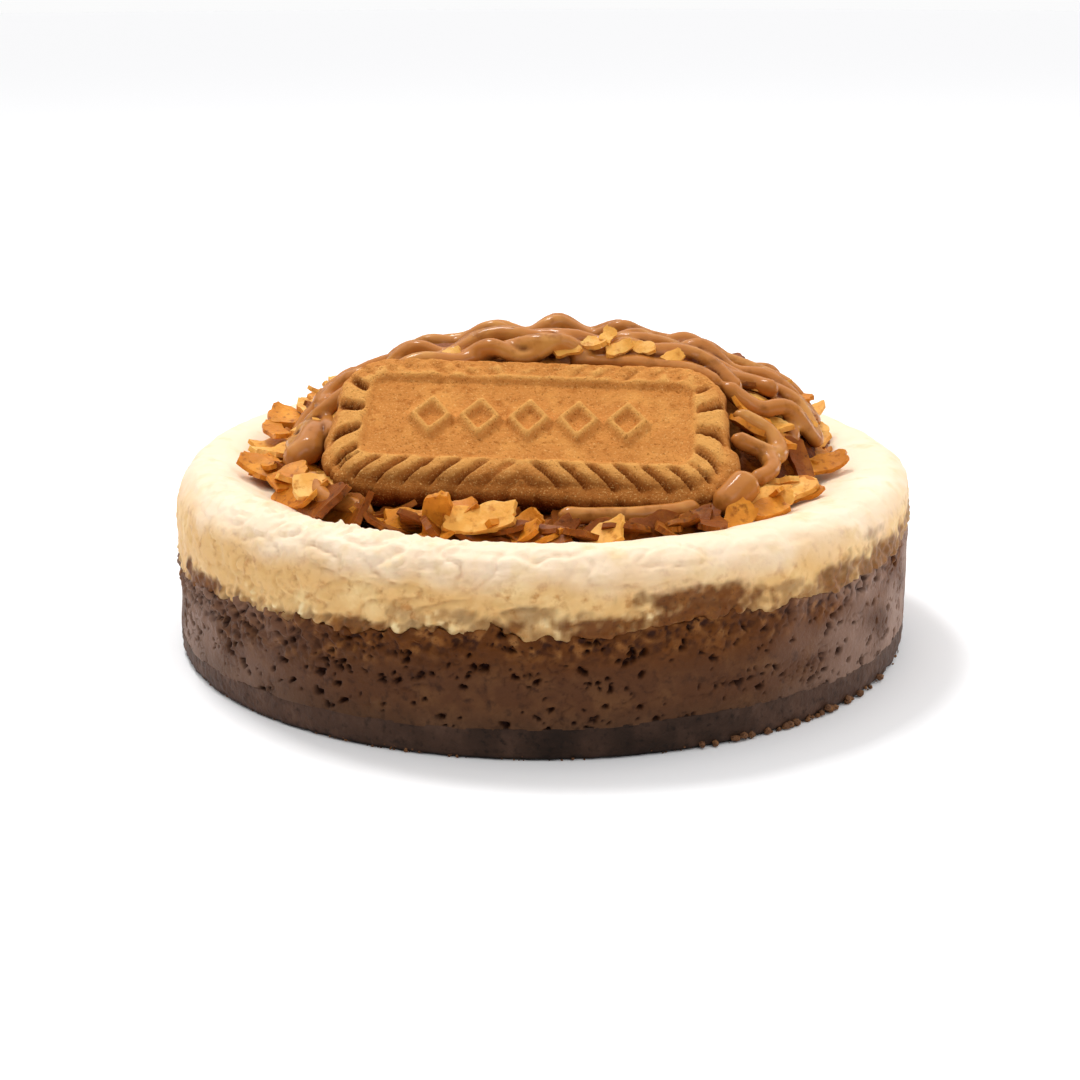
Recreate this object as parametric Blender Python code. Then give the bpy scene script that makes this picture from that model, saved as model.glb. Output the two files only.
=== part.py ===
"""A small round baked cheesecake, 113 mm across.

A dark crumb crust carries a brown caramel layer and a pale cream layer, whose top sinks inside a
rounded rim. A heap of toasted flakes under piped ropes of caramel spread fills the sunken top,
and a fluted biscuit leans back on the heap at the front. +Z is up, the front faces -Y, and the
origin is the middle of the flat base. Lengths are in millimetres until a mesh becomes an object.
"""

import math
import random

import bmesh
import bpy
from mathutils import Matrix, Vector, noise

MM = 0.001
GAP = 0.3
WELD = 0.0005
SLIVER = 0.02

# The cake's body
CAKE_RADIUS = 56.5
CRUST_HEIGHT = 3.8
SEAM_HEIGHT = 17.3
RIM_HEIGHT = 28.5
RIM_CREST_RADIUS = 51.3
DISH_HEIGHT = 24.4
CAKE_SEGMENTS = 64
WARP_START_RADIUS = 38.0

# The heap of flakes and piped spread
HEAP_RADIUS = 43.3
HEAP_CENTRE = (2.5, 5.0)
HEAP_REACH_SIDE = 42.0
HEAP_REACH_BACK = 37.5
HEAP_REACH_FRONT = 39.0
HEAP_PEAK_HEIGHT = 43.4
HEAP_ROUNDNESS = 0.56
FOOT_FLAKE_COUNT = 20
FLANK_FLAKE_COUNT = 11
FLAKE_THICKNESS = 1.0
FLAKE_SEED = 2
HEAP_SKIRT = 1.0
HEAP_SEGMENTS = 32
CORE_LUMP = 1.6
ROPE_RADIUS = 1.4
ROPE_STEP = 5.2
ROPE_STRAY = 3.5
ROPE_FIELD = 0.97
BARE_FRONT = -26.0
CROSS_ROPE_COUNT = 11
CROSS_ROPE_SAG = 0.9
CROSS_ROPE_RISE = 1.7
CROSSING_WIDTH = 3.4
LONG_ROPE_COUNT = 7
LONG_ROPE_LIFT = 0.5

# The biscuit
BISCUIT_LENGTH = 58.6
BISCUIT_WIDTH = 28.6
BISCUIT_THICKNESS = 6.6
BISCUIT_CORNER = 8.5
BISCUIT_EDGE = 2.6
BISCUIT_FLUTES = 34
FLUTE_DEPTH = 0.5
PANEL_LENGTH = 47.4
PANEL_WIDTH = 17.0
PANEL_CORNER = 2.4
PANEL_DEPTH = 0.5
LOZENGE_COUNT = 5
LOZENGE_PITCH = 7.2
LOZENGE_LENGTH = 6.6
LOZENGE_WIDTH = 9.0
LOZENGE_HEIGHT = 1.4
LOZENGE_STROKE = 0.9
LOZENGE_SINK = 0.5
BISCUIT_FACE_CENTRE = (-2.1, -17.9, 37.6)
BISCUIT_TILT = math.radians(28.4)
BISCUIT_YAW = math.radians(-2.2)
BISCUIT_ROLL = math.radians(-2.5)

CRUST_COLOUR = (0.055, 0.026, 0.014)
CARAMEL_LAYER_COLOUR = (0.17, 0.080, 0.040)
CREAM_COLOUR = (0.86, 0.70, 0.44)
SPREAD_COLOUR = (0.42, 0.19, 0.070)
BISCUIT_COLOUR = (0.38, 0.165, 0.055)


def clear_scene():
    for obj in list(bpy.data.objects):
        bpy.data.objects.remove(obj)


def new_collection(name):
    collection = bpy.data.collections.new(name)
    bpy.context.scene.collection.children.link(collection)
    return collection


def new_material(name, colour, roughness):
    material = bpy.data.materials.new(name)
    material.use_nodes = True
    shader = material.node_tree.nodes["Principled BSDF"]
    shader.inputs["Base Color"].default_value = (*colour, 1.0)
    shader.inputs["Roughness"].default_value = roughness
    shader.inputs["Metallic"].default_value = 0.0
    return material


def add_object(name, shape, collection, material=None):
    """Turns a bmesh in millimetres into an object in metres."""
    bmesh.ops.scale(shape, vec=(MM, MM, MM), verts=shape.verts)
    bmesh.ops.recalc_face_normals(shape, faces=shape.faces)
    mesh = bpy.data.meshes.new(name)
    shape.to_mesh(mesh)
    shape.free()
    obj = bpy.data.objects.new(name, mesh)
    collection.objects.link(obj)
    if material:
        mesh.materials.append(material)
    return obj


def smooth_step(low, high, value):
    share = min(max((value - low) / (high - low), 0.0), 1.0)
    return share * share * (3.0 - 2.0 * share)


def round_wave(angle, turns, seed):
    """Uneven height from -1 to 1 round the cake, with about this many waves in a turn."""
    reach = turns / math.tau
    return noise.noise(Vector((reach * math.cos(angle), reach * math.sin(angle), seed))) * 1.6


def crust_wave(angle):
    return 1.1 * math.cos(angle + math.radians(55)) + 0.35 * round_wave(angle, 12, 3.1)


def seam_wave(angle):
    """The cream reaches lower at the left than at the right, in uneven tongues."""
    return (
        2.7 * math.cos(angle)
        + 1.3 * round_wave(angle, 14, 8.3)
        + 0.8 * round_wave(angle, 34, 1.7)
    )


def rim_wave(angle):
    return 0.5 * round_wave(angle, 9, 5.5) - 0.35 * math.exp(-(((angle + math.pi / 2) / 0.3) ** 2))


def warped(point):
    """Moves a point of the evenly turned cake to its place in the uneven real one."""
    x, y, z = point
    radius = math.hypot(x, y)
    share = smooth_step(WARP_START_RADIUS, CAKE_RADIUS - 4.0, radius)
    if share == 0.0:
        return Vector(point)
    angle = math.atan2(y, x)
    levels = (
        (0.0, 0.0),
        (CRUST_HEIGHT, crust_wave(angle)),
        (SEAM_HEIGHT, seam_wave(angle)),
        (RIM_HEIGHT, rim_wave(angle)),
    )
    lift = levels[-1][1]
    for (low, low_lift), (high, high_lift) in zip(levels, levels[1:]):
        if z <= high:
            lift = low_lift + (high_lift - low_lift) * max(z - low, 0.0) / (high - low)
            break
    swell = 0.45 * round_wave(angle, 7, 2.4 + z * 0.05) * share
    scale = (radius + swell) / radius
    return Vector((x * scale, y * scale, z + lift * share))


def turned(profile, segments):
    """A bmesh turned round the upright axis from a (radius, height) outline that ends on the axis."""
    shape = bmesh.new()
    points = [shape.verts.new((radius, 0.0, height)) for radius, height in profile]
    edges = [shape.edges.new(pair) for pair in zip(points, points[1:])]
    bmesh.ops.spin(
        shape, geom=points + edges, cent=(0, 0, 0), axis=(0, 0, 1), angle=math.tau,
        steps=segments, use_merge=True,
    )
    bmesh.ops.remove_doubles(shape, verts=shape.verts, dist=WELD)
    return shape


def warp(shape):
    for vert in shape.verts:
        vert.co = warped(vert.co)
    return shape


def crust_shape():
    wall = CAKE_RADIUS - 0.2
    profile = [
        (0.0, 0.0),
        (wall - 1.2, 0.0),
        (wall - 0.2, 0.7),
        (wall, CRUST_HEIGHT - GAP / 2),
        (44.0, CRUST_HEIGHT - GAP / 2),
        (0.0, CRUST_HEIGHT - GAP / 2),
    ]
    return warp(turned(profile, CAKE_SEGMENTS))


def caramel_layer_shape():
    low, high = CRUST_HEIGHT + GAP / 2, SEAM_HEIGHT - GAP / 2
    wall_steps = 3
    wall = [
        (CAKE_RADIUS - 0.15 * (1 - step / wall_steps), low + (high - low) * step / wall_steps)
        for step in range(wall_steps + 1)
    ]
    profile = [(0.0, low), (44.0, low), *wall, (44.0, high), (0.0, high)]
    return warp(turned(profile, CAKE_SEGMENTS))


def dish_profile(lift=0.0):
    """The cream's top from its rounded shoulder, over the crest and down into the sunken middle."""
    points = [
        (CAKE_RADIUS, 22.6),
        (CAKE_RADIUS - 0.4, 25.2),
        (CAKE_RADIUS - 1.7, 27.2),
        (53.2, 28.3),
        (RIM_CREST_RADIUS, RIM_HEIGHT),
        (48.6, 28.0),
        (45.4, 26.7),
        (42.2, 25.6),
        (37.0, 24.8),
        (28.0, DISH_HEIGHT),
        (0.0, DISH_HEIGHT),
    ]
    return [(radius, height + lift) for radius, height in points]


def cream_layer_shape():
    low = SEAM_HEIGHT + GAP / 2
    profile = [(0.0, low), (44.0, low), (CAKE_RADIUS, low), *dish_profile()]
    return warp(turned(profile, CAKE_SEGMENTS))


def cream_cutter_shape():
    """What the heap has to stay clear of: the cream, raised by the gap."""
    outside = CAKE_RADIUS + 12.0
    profile = [(0.0, 10.0), (outside, 10.0), (outside, 22.0), *dish_profile(GAP)]
    return warp(turned(profile, CAKE_SEGMENTS))


def dome_height(x, y):
    """The smooth top of the heap below its ropes and flakes."""
    along = (x - HEAP_CENTRE[0]) / HEAP_REACH_SIDE
    depth = y - HEAP_CENTRE[1]
    across = depth / (HEAP_REACH_BACK if depth > 0 else HEAP_REACH_FRONT)
    fullness = max(1.0 - along * along - across * across, 0.0) ** HEAP_ROUNDNESS
    foot = DISH_HEIGHT + HEAP_SKIRT + 1.4 * smooth_step(33.0, 43.0, math.hypot(x, y))
    return foot + (HEAP_PEAK_HEIGHT - foot) * fullness


def heap_core_shape():
    under = [(0.0, DISH_HEIGHT + GAP), (28.0, DISH_HEIGHT + GAP), (HEAP_RADIUS, 25.9)]
    rings = [HEAP_RADIUS, 39.0, 35.0, 29.0, 22.0, 14.0, 6.0, 0.0]
    top = [(radius, RIM_HEIGHT + 10.0) for radius in rings]
    shape = turned(under + top, HEAP_SEGMENTS)
    for vert in shape.verts:
        if vert.co.z > RIM_HEIGHT:
            x, y, _ = vert.co
            vert.co.z = dome_height(x, y) + CORE_LUMP * noise.noise(Vector((x, y, 9.0)) / 7.0)
    return shape


def rope_stray(along, seed):
    """How far a hand-piped rope strays from its straight line, in millimetres."""
    return ROPE_STRAY * noise.noise(Vector((along * 0.09, seed * 3.7, 0.4)))


def on_heap(u, v):
    """The plan point of the heap for a point of the unit circle."""
    reach = HEAP_REACH_BACK if v > 0.0 else HEAP_REACH_FRONT
    return (
        HEAP_CENTRE[0] + ROPE_FIELD * HEAP_REACH_SIDE * u,
        HEAP_CENTRE[1] + ROPE_FIELD * reach * v,
    )


def even_rows(count):
    """Lines spread evenly over the unit circle, none of them right at its edge."""
    return [1.0 - 2.0 * (number + 0.6) / (count + 0.2) for number in range(count)]


def zigzag(rows):
    """A line piped to and fro over the unit circle, with a round turn at the end of each row."""
    pitch = rows[0] - rows[1]
    points = []
    for number, row in enumerate(rows):
        sign = 1 if number % 2 == 0 else -1
        reach = math.sqrt(1.0 - row * row) - pitch / 2
        steps = max(round(2 * reach * HEAP_REACH_SIDE / ROPE_STEP), 2)
        for step in range(steps + 1):
            along = -reach + 2 * reach * step / steps
            stray = rope_stray(along * HEAP_REACH_SIDE, number) / HEAP_REACH_SIDE
            points.append((sign * along, row + stray))
        if number + 1 < len(rows):
            middle = row - pitch / 2
            points.append((sign * math.sqrt(1.0 - middle * middle), middle))
    return points


def long_rope_columns():
    """Where the ropes that run from the back to the front cross the heap."""
    return [on_heap(u, 0.0)[0] for u in even_rows(LONG_ROPE_COUNT)]


def cross_rope_height(x, y):
    """A cross rope rides up over each long rope below it and sags between them."""
    nearest = min(abs(x - column) for column in long_rope_columns())
    rise = CROSS_ROPE_RISE * math.exp(-((nearest / CROSSING_WIDTH) ** 2))
    return dome_height(x, y) + CROSS_ROPE_SAG + rise


def long_rope_height(x, y):
    return dome_height(x, y) + LONG_ROPE_LIFT


def under_biscuit(x, y):
    """Whether the biscuit or the bare ground in front of it takes the place of a rope here."""
    centre = Vector(BISCUIT_FACE_CENTRE)
    slab_centre_y = centre.y + BISCUIT_THICKNESS / 2 * math.sin(BISCUIT_TILT)
    plan = Matrix.Rotation(-BISCUIT_YAW, 2) @ Vector((x - centre.x, y - slab_centre_y))
    overhang = 2.0
    inside = (
        abs(plan.x) < BISCUIT_LENGTH / 2 - overhang
        and abs(plan.y) < BISCUIT_WIDTH / 2 - overhang
    )
    return inside or (y < BARE_FRONT and abs(x) < BISCUIT_LENGTH / 2)


def open_stretches(line):
    """The stretches of a line that no biscuit covers, each long enough to make a rope."""
    stretches = [[]]
    for x, y in line:
        if under_biscuit(x, y):
            stretches.append([])
        else:
            stretches[-1].append((x, y))
    return [stretch for stretch in stretches if len(stretch) > 2]


def all_strands():
    cross = [on_heap(u, v) for u, v in zigzag(even_rows(CROSS_ROPE_COUNT))]
    long = [on_heap(u, v) for v, u in zigzag(even_rows(LONG_ROPE_COUNT))]
    return [
        [Vector((x, y, height_at(x, y))) for x, y in stretch]
        for line, height_at in ((cross, cross_rope_height), (long, long_rope_height))
        for stretch in open_stretches(line)
    ]


def add_strand(name, points, collection):
    """A rope as a closed tube, welded so that a Boolean can join it."""
    curve = bpy.data.curves.new(name, "CURVE")
    curve.dimensions = "3D"
    curve.bevel_depth = ROPE_RADIUS * MM
    curve.bevel_resolution = 1
    curve.use_fill_caps = True
    spline = curve.splines.new("POLY")
    spline.points.add(len(points) - 1)
    for target, point in zip(spline.points, points):
        target.co = (*(point * MM), 1.0)
    guide = bpy.data.objects.new(name + "_line", curve)
    collection.objects.link(guide)
    mesh = evaluated_mesh(guide, name)
    bpy.data.objects.remove(guide)
    shape = bmesh.new()
    shape.from_mesh(mesh)
    bmesh.ops.remove_doubles(shape, verts=shape.verts, dist=WELD * MM)
    bmesh.ops.recalc_face_normals(shape, faces=shape.faces)
    shape.to_mesh(mesh)
    shape.free()
    obj = bpy.data.objects.new(name, mesh)
    collection.objects.link(obj)
    return obj


def evaluated_mesh(obj, name):
    graph = bpy.context.evaluated_depsgraph_get()
    mesh = bpy.data.meshes.new_from_object(obj.evaluated_get(graph))
    mesh.name = name
    return mesh


def flake_shape(length, width, thickness, curl, rng):
    """A curved shaving: a slim box with a tapered, uneven outline, bent along its length."""
    shape = bmesh.new()
    bmesh.ops.create_cube(shape, size=1.0)
    bmesh.ops.scale(shape, vec=(length, width, thickness), verts=shape.verts)
    long_edges = [
        edge for edge in shape.edges
        if abs((edge.verts[0].co - edge.verts[1].co).x) > length / 2
    ]
    bmesh.ops.subdivide_edges(shape, edges=long_edges, cuts=2)
    bend_radius = length / curl
    for vert in shape.verts:
        along = vert.co.x / (length / 2)
        taper = 1.0 - 0.45 * along * along
        vert.co.y = vert.co.y * taper + rng.uniform(-0.06, 0.06) * width
        angle = vert.co.x / bend_radius
        reach = bend_radius - vert.co.z
        vert.co.x = reach * math.sin(angle)
        vert.co.z = bend_radius - reach * math.cos(angle)
    return shape


# Each is (x, y, height above the foot, length, width, heading, pitch, roll) of a flake that
# stands out: the upright and the flat ones in front of the biscuit, and the strays at the sides.
STANDING_FLAKES = (
    (-16.2, -38.4, 2.6, 8.5, 4.2, 10, 78, 5),
    (-8.6, -38.6, 2.6, 11.0, 3.4, 6, 6, -22),
    (-3.2, -39.6, 1.2, 8.0, 3.8, -32, 26, 14),
    (2.6, -40.0, 1.4, 8.5, 3.6, 30, 24, -18),
    (10.2, -39.4, 1.6, 9.0, 3.6, 3, 8, 30),
    (18.0, -37.4, 1.6, 8.4, 4.2, 14, -6, 24),
    (26.4, -32.4, 2.4, 9.0, 4.4, 52, 42, 10),
    (30.2, -28.8, 2.0, 8.4, 4.2, 16, 10, 24),
    (35.6, -23.2, 1.6, 8.8, 3.6, 34, 6, 16),
    (38.4, -14.0, 3.4, 9.4, 3.2, 115, 48, 8),
    (43.4, -8.8, 2.4, 9.6, 4.0, 18, 18, 36),
    (-29.8, -30.6, 1.9, 10.6, 6.0, -28, 22, -28),
    (-35.8, -21.6, 2.2, 10.4, 5.4, -48, 20, 24),
    (-40.4, -11.6, 2.2, 9.4, 4.2, -12, -16, 26),
    (-23.6, -34.8, 1.6, 10.6, 5.6, -14, 14, -34),
)


def flake_places(rng):
    """The flakes that stand out, a ring round the foot of the heap, and some between the ropes."""
    places = list(STANDING_FLAKES)
    for step in range(FOOT_FLAKE_COUNT):
        angle = math.radians(-14 + 208 * step / (FOOT_FLAKE_COUNT - 1)) + rng.uniform(-0.06, 0.06)
        reach = rng.uniform(38.5, 42.0)
        places.append(
            (
                reach * math.cos(angle), reach * math.sin(angle), rng.uniform(1.6, 3.4),
                rng.uniform(9.0, 12.0), rng.uniform(4.0, 5.6),
                math.degrees(angle) + rng.uniform(-70, 70),
                rng.uniform(-20, 38), rng.uniform(-34, 34),
            )
        )
    for step in range(FLANK_FLAKE_COUNT):
        angle = math.radians(-25 + 230 * step / (FLANK_FLAKE_COUNT - 1)) + rng.uniform(-0.1, 0.1)
        share = 0.72 + 0.16 * (step % 2)
        x, y = on_heap(share * math.cos(angle), share * math.sin(angle))
        places.append(
            (
                x, y, dome_height(x, y) - foot_height(x, y) + 0.6,
                rng.uniform(8.0, 10.0), rng.uniform(4.0, 5.2),
                math.degrees(angle), -rng.uniform(24, 44), rng.uniform(-24, 24),
            )
        )
    return places


def foot_height(x, y):
    return DISH_HEIGHT + 0.055 * max(math.hypot(x, y) - 30.0, 0.0) ** 1.3


def add_flakes(collection):
    rng = random.Random(FLAKE_SEED)
    for number, place in enumerate(flake_places(rng)):
        x, y, height, length, width, heading, pitch, roll = place
        shape = flake_shape(length, width, FLAKE_THICKNESS, rng.uniform(0.5, 0.9), rng)
        turn = (
            Matrix.Translation((x, y, foot_height(x, y) + height))
            @ Matrix.Rotation(math.radians(heading), 4, "Z")
            @ Matrix.Rotation(-math.radians(pitch), 4, "Y")
            @ Matrix.Rotation(math.radians(roll), 4, "X")
        )
        bmesh.ops.transform(shape, matrix=turn, verts=shape.verts)
        bmesh.ops.triangulate(shape, faces=shape.faces)
        add_object(f"flake_{number:02d}", shape, collection)


def rounded_rectangle(length, width, corner, count, lobe_depth=0.0):
    """Points evenly spaced round a rectangle with round corners, with lobes pressed into it."""
    straight_x, straight_y = length - 2 * corner, width - 2 * corner
    quarter = math.pi * corner / 2
    stretches = (
        ("line", (length / 2, -straight_y / 2), (0, 1), straight_y),
        ("arc", (straight_x / 2, straight_y / 2), 0.0, quarter),
        ("line", (straight_x / 2, width / 2), (-1, 0), straight_x),
        ("arc", (-straight_x / 2, straight_y / 2), math.pi / 2, quarter),
        ("line", (-length / 2, straight_y / 2), (0, -1), straight_y),
        ("arc", (-straight_x / 2, -straight_y / 2), math.pi, quarter),
        ("line", (-straight_x / 2, -width / 2), (1, 0), straight_x),
        ("arc", (straight_x / 2, -straight_y / 2), 3 * math.pi / 2, quarter),
    )
    total = 2 * (straight_x + straight_y) + 4 * quarter
    points = []
    for step in range(count):
        left = total * step / count
        for kind, start, direction, span in stretches:
            if left <= span:
                break
            left -= span
        if kind == "line":
            point = Vector((start[0] + direction[0] * left, start[1] + direction[1] * left))
            outward = Vector((direction[1], -direction[0]))
        else:
            angle = direction + left / corner
            outward = Vector((math.cos(angle), math.sin(angle)))
            point = Vector(start) + corner * outward
        lobe = 0.5 - 0.5 * math.cos(math.tau * BISCUIT_FLUTES * step / count)
        points.append(point - outward * lobe_depth * lobe)
    return points


def ring_of(shape, outline, height):
    """A closed loop of edges through an outline at one height."""
    verts = [shape.verts.new((point.x, point.y, height)) for point in outline]
    return [shape.edges.new((verts[i - 1], verts[i])) for i in range(len(verts))]


def biscuit_rings(grow=0.0):
    """(inset, height, lobe depth) of the loops from the underside, round the edge, to the face."""
    thickness, edge = BISCUIT_THICKNESS, BISCUIT_EDGE
    return (
        (edge - grow, -thickness - grow, 0.0),
        (edge * 0.30 - grow, -thickness + edge * 0.35 - grow, FLUTE_DEPTH * 0.4),
        (-grow, -thickness * 0.5, FLUTE_DEPTH),
        (edge * 0.30 - grow, -edge * 0.35 + grow, FLUTE_DEPTH * 1.6),
        (edge - grow, grow, FLUTE_DEPTH * 0.8),
    )


def biscuit_shape():
    """A slab with fluted edges, a sunken panel and a row of raised lozenges on the panel."""
    shape = bmesh.new()
    count = BISCUIT_FLUTES * 4
    loops = [
        ring_of(
            shape,
            rounded_rectangle(
                BISCUIT_LENGTH - 2 * inset, BISCUIT_WIDTH - 2 * inset, BISCUIT_CORNER - inset,
                count, lobe,
            ),
            height,
        )
        for inset, height, lobe in biscuit_rings()
    ]
    slope = 0.4
    for inset, height in ((0.0, 0.0), (slope, -PANEL_DEPTH)):
        outline = rounded_rectangle(
            PANEL_LENGTH - 2 * inset, PANEL_WIDTH - 2 * inset, PANEL_CORNER, count // 2
        )
        loops.append(ring_of(shape, outline, height))
    for lower, upper in zip(loops, loops[1:]):
        bmesh.ops.bridge_loops(shape, edges=lower + upper)
    for end in (loops[0], loops[-1]):
        bmesh.ops.contextual_create(shape, geom=end)
    bmesh.ops.triangulate(shape, faces=shape.faces, ngon_method="EAR_CLIP")
    return shape


def lozenge_shape():
    """A raised lozenge outline with a sunken middle, standing in the panel's floor."""
    shape = bmesh.new()
    bmesh.ops.create_cone(
        shape, cap_ends=True, segments=4, radius1=0.5, radius2=0.44, depth=LOZENGE_HEIGHT
    )
    bmesh.ops.scale(shape, vec=(LOZENGE_LENGTH, LOZENGE_WIDTH, 1.0), verts=shape.verts)
    top = max(shape.faces, key=lambda face: face.calc_center_median().z)
    bmesh.ops.inset_individual(shape, faces=[top], thickness=LOZENGE_STROKE)
    bmesh.ops.translate(shape, vec=(0, 0, -LOZENGE_SINK), verts=list(top.verts))
    return shape


def biscuit_pose():
    return (
        Matrix.Translation(BISCUIT_FACE_CENTRE)
        @ Matrix.Rotation(BISCUIT_YAW, 4, "Z")
        @ Matrix.Rotation(BISCUIT_TILT, 4, "X")
        @ Matrix.Rotation(BISCUIT_ROLL, 4, "Z")
    )


def biscuit_cutter_shape():
    """The space that the heap leaves to the biscuit and in front of its face."""
    shape = bmesh.new()
    reach = 25.0
    loops = [
        ring_of(
            shape,
            rounded_rectangle(
                BISCUIT_LENGTH - 2 * inset, BISCUIT_WIDTH - 2 * inset, BISCUIT_CORNER - inset, 48
            ),
            height,
        )
        for inset, height, _ in biscuit_rings(GAP + 0.1)[:3]
    ]
    outer = rounded_rectangle(
        BISCUIT_LENGTH + 2 * GAP, BISCUIT_WIDTH + 2 * GAP, BISCUIT_CORNER + GAP, 48
    )
    loops.append(ring_of(shape, outer, reach))
    for lower, upper in zip(loops, loops[1:]):
        bmesh.ops.bridge_loops(shape, edges=lower + upper)
    for end in (loops[0], loops[-1]):
        bmesh.ops.contextual_create(shape, geom=end)
    return shape


def pose(shape, matrix):
    bmesh.ops.transform(shape, matrix=matrix, verts=shape.verts)
    return shape


def combine(obj, operation, operand, solver="EXACT"):
    """Applies one Boolean to obj and removes what it used."""
    modifier = obj.modifiers.new(operation.lower(), "BOOLEAN")
    modifier.operation = operation
    modifier.solver = solver
    if isinstance(operand, bpy.types.Collection):
        modifier.operand_type = "COLLECTION"
        modifier.collection = operand
        used = list(operand.objects)
    else:
        modifier.object = operand
        used = [operand]
    mesh = evaluated_mesh(obj, obj.name)
    obj.modifiers.clear()
    obj.data = mesh
    for item in used:
        bpy.data.objects.remove(item)


def shells_of(shape):
    """The connected shells of a bmesh, as lists of faces."""
    unseen = set(shape.faces)
    shells = []
    while unseen:
        seed = unseen.pop()
        shell, front = [seed], [seed]
        while front:
            face = front.pop()
            for edge in face.edges:
                for other in edge.link_faces:
                    if other in unseen:
                        unseen.remove(other)
                        shell.append(other)
                        front.append(other)
        shells.append(shell)
    return shells


def keep_one_body(obj):
    """Fills hollows that fusing sealed and drops loose scraps: only the largest shell stays."""
    shape = bmesh.new()
    shape.from_mesh(obj.data)
    bmesh.ops.remove_doubles(shape, verts=shape.verts, dist=SLIVER * MM)
    bmesh.ops.triangulate(shape, faces=shape.faces)
    shells = sorted(shells_of(shape), key=len)
    scraps = [face for shell in shells[:-1] for face in shell]
    bmesh.ops.delete(shape, geom=scraps, context="FACES")
    shape.to_mesh(obj.data)
    shape.free()


def main():
    clear_scene()
    cake = new_collection("cheesecake")
    cutters = new_collection("cutters")
    toppings = new_collection("toppings")
    crust = new_material("crust", CRUST_COLOUR, 0.8)
    caramel = new_material("caramel_layer", CARAMEL_LAYER_COLOUR, 0.6)
    cream = new_material("cream_layer", CREAM_COLOUR, 0.5)
    spread = new_material("spread", SPREAD_COLOUR, 0.25)
    baked = new_material("biscuit", BISCUIT_COLOUR, 0.7)

    add_object("crust", crust_shape(), cake, crust)
    add_object("caramel_layer", caramel_layer_shape(), cake, caramel)
    add_object("cream_layer", cream_layer_shape(), cake, cream)

    heap = add_object("topping_heap", heap_core_shape(), cake, spread)
    for number, points in enumerate(all_strands()):
        add_strand(f"rope_{number:02d}", points, toppings)
    add_flakes(toppings)
    combine(heap, "UNION", toppings, "MANIFOLD")
    biscuit_cutter = add_object(
        "biscuit_space", pose(biscuit_cutter_shape(), biscuit_pose()), cutters
    )
    cream_cutter = add_object("cream_space", cream_cutter_shape(), cutters)
    combine(heap, "DIFFERENCE", biscuit_cutter, "MANIFOLD")
    combine(heap, "DIFFERENCE", cream_cutter, "MANIFOLD")
    keep_one_body(heap)
    bpy.data.collections.remove(toppings)

    biscuit = add_object("biscuit", pose(biscuit_shape(), biscuit_pose()), cake, baked)
    ornaments = new_collection("ornaments")
    for number in range(LOZENGE_COUNT):
        shape = lozenge_shape()
        offset = (number - (LOZENGE_COUNT - 1) / 2) * LOZENGE_PITCH
        bmesh.ops.translate(shape, vec=(offset, 0.0, -PANEL_DEPTH), verts=shape.verts)
        add_object(f"lozenge_{number}", pose(shape, biscuit_pose()), ornaments)
    combine(biscuit, "UNION", ornaments)
    bpy.data.collections.remove(ornaments)

    for obj in cake.objects:
        obj.data.shade_smooth()
        obj.data.set_sharp_from_angle(angle=math.radians(40))
        print(obj.name, len(obj.data.polygons), "faces")


main()
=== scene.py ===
import functools
import math
import random

import bmesh
import bpy
from mathutils import Matrix, Vector, kdtree, noise


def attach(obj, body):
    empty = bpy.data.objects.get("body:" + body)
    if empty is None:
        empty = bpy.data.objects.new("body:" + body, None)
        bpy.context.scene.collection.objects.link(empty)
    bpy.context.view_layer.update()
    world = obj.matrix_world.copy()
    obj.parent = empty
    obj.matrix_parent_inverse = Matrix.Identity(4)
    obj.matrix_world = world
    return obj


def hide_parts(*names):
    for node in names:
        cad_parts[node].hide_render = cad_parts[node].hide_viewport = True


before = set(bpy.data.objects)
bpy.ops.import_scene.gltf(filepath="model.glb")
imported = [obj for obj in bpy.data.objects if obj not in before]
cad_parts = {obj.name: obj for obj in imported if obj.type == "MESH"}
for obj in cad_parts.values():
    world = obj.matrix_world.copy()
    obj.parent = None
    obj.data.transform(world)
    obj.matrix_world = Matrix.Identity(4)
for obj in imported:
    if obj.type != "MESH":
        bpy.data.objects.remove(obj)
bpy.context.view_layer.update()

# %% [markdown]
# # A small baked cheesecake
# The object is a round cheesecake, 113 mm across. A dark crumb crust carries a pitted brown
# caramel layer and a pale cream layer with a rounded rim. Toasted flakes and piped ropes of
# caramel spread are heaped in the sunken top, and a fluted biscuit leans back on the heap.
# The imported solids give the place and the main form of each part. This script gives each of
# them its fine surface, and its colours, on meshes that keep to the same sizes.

MM = 0.001

# %% [markdown]
# ## Working in millimetres
# A cake is easier to think about in millimetres, so every mesh is shaped in them and scaled to
# metres once, when it becomes an object. The same step recalculates the normals, shades the
# mesh smooth, and fixes it to the one body of the part.

# %% Turn a shaped mesh into a piece of the cake
def mesh_from(shape, name):
    """A mesh with the shape of a bmesh, which is freed."""
    mesh = bpy.data.meshes.new(name)
    shape.to_mesh(mesh)
    shape.free()
    return mesh


def add_object(name, data):
    """An object in the scene that holds a mesh, a curve, a light or a camera."""
    holder = bpy.data.objects.new(name, data)
    bpy.context.scene.collection.objects.link(holder)
    return holder


def make_piece(name, shape, material, smooth=True):
    """Scales a bmesh from millimetres to metres and gives the object that holds it."""
    bmesh.ops.scale(shape, vec=(MM, MM, MM), verts=shape.verts)
    bmesh.ops.recalc_face_normals(shape, faces=shape.faces)
    mesh = mesh_from(shape, name)
    mesh.materials.append(material)
    if smooth:
        mesh.shade_smooth()
    piece = add_object(name, mesh)
    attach(piece, "root")
    triangles = sum(len(face.vertices) - 2 for face in mesh.polygons)
    print(name, triangles, "triangles")
    return piece


def smooth_step(low, high, value):
    share = min(max((value - low) / (high - low), 0.0), 1.0)
    return share * share * (3.0 - 2.0 * share)


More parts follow.
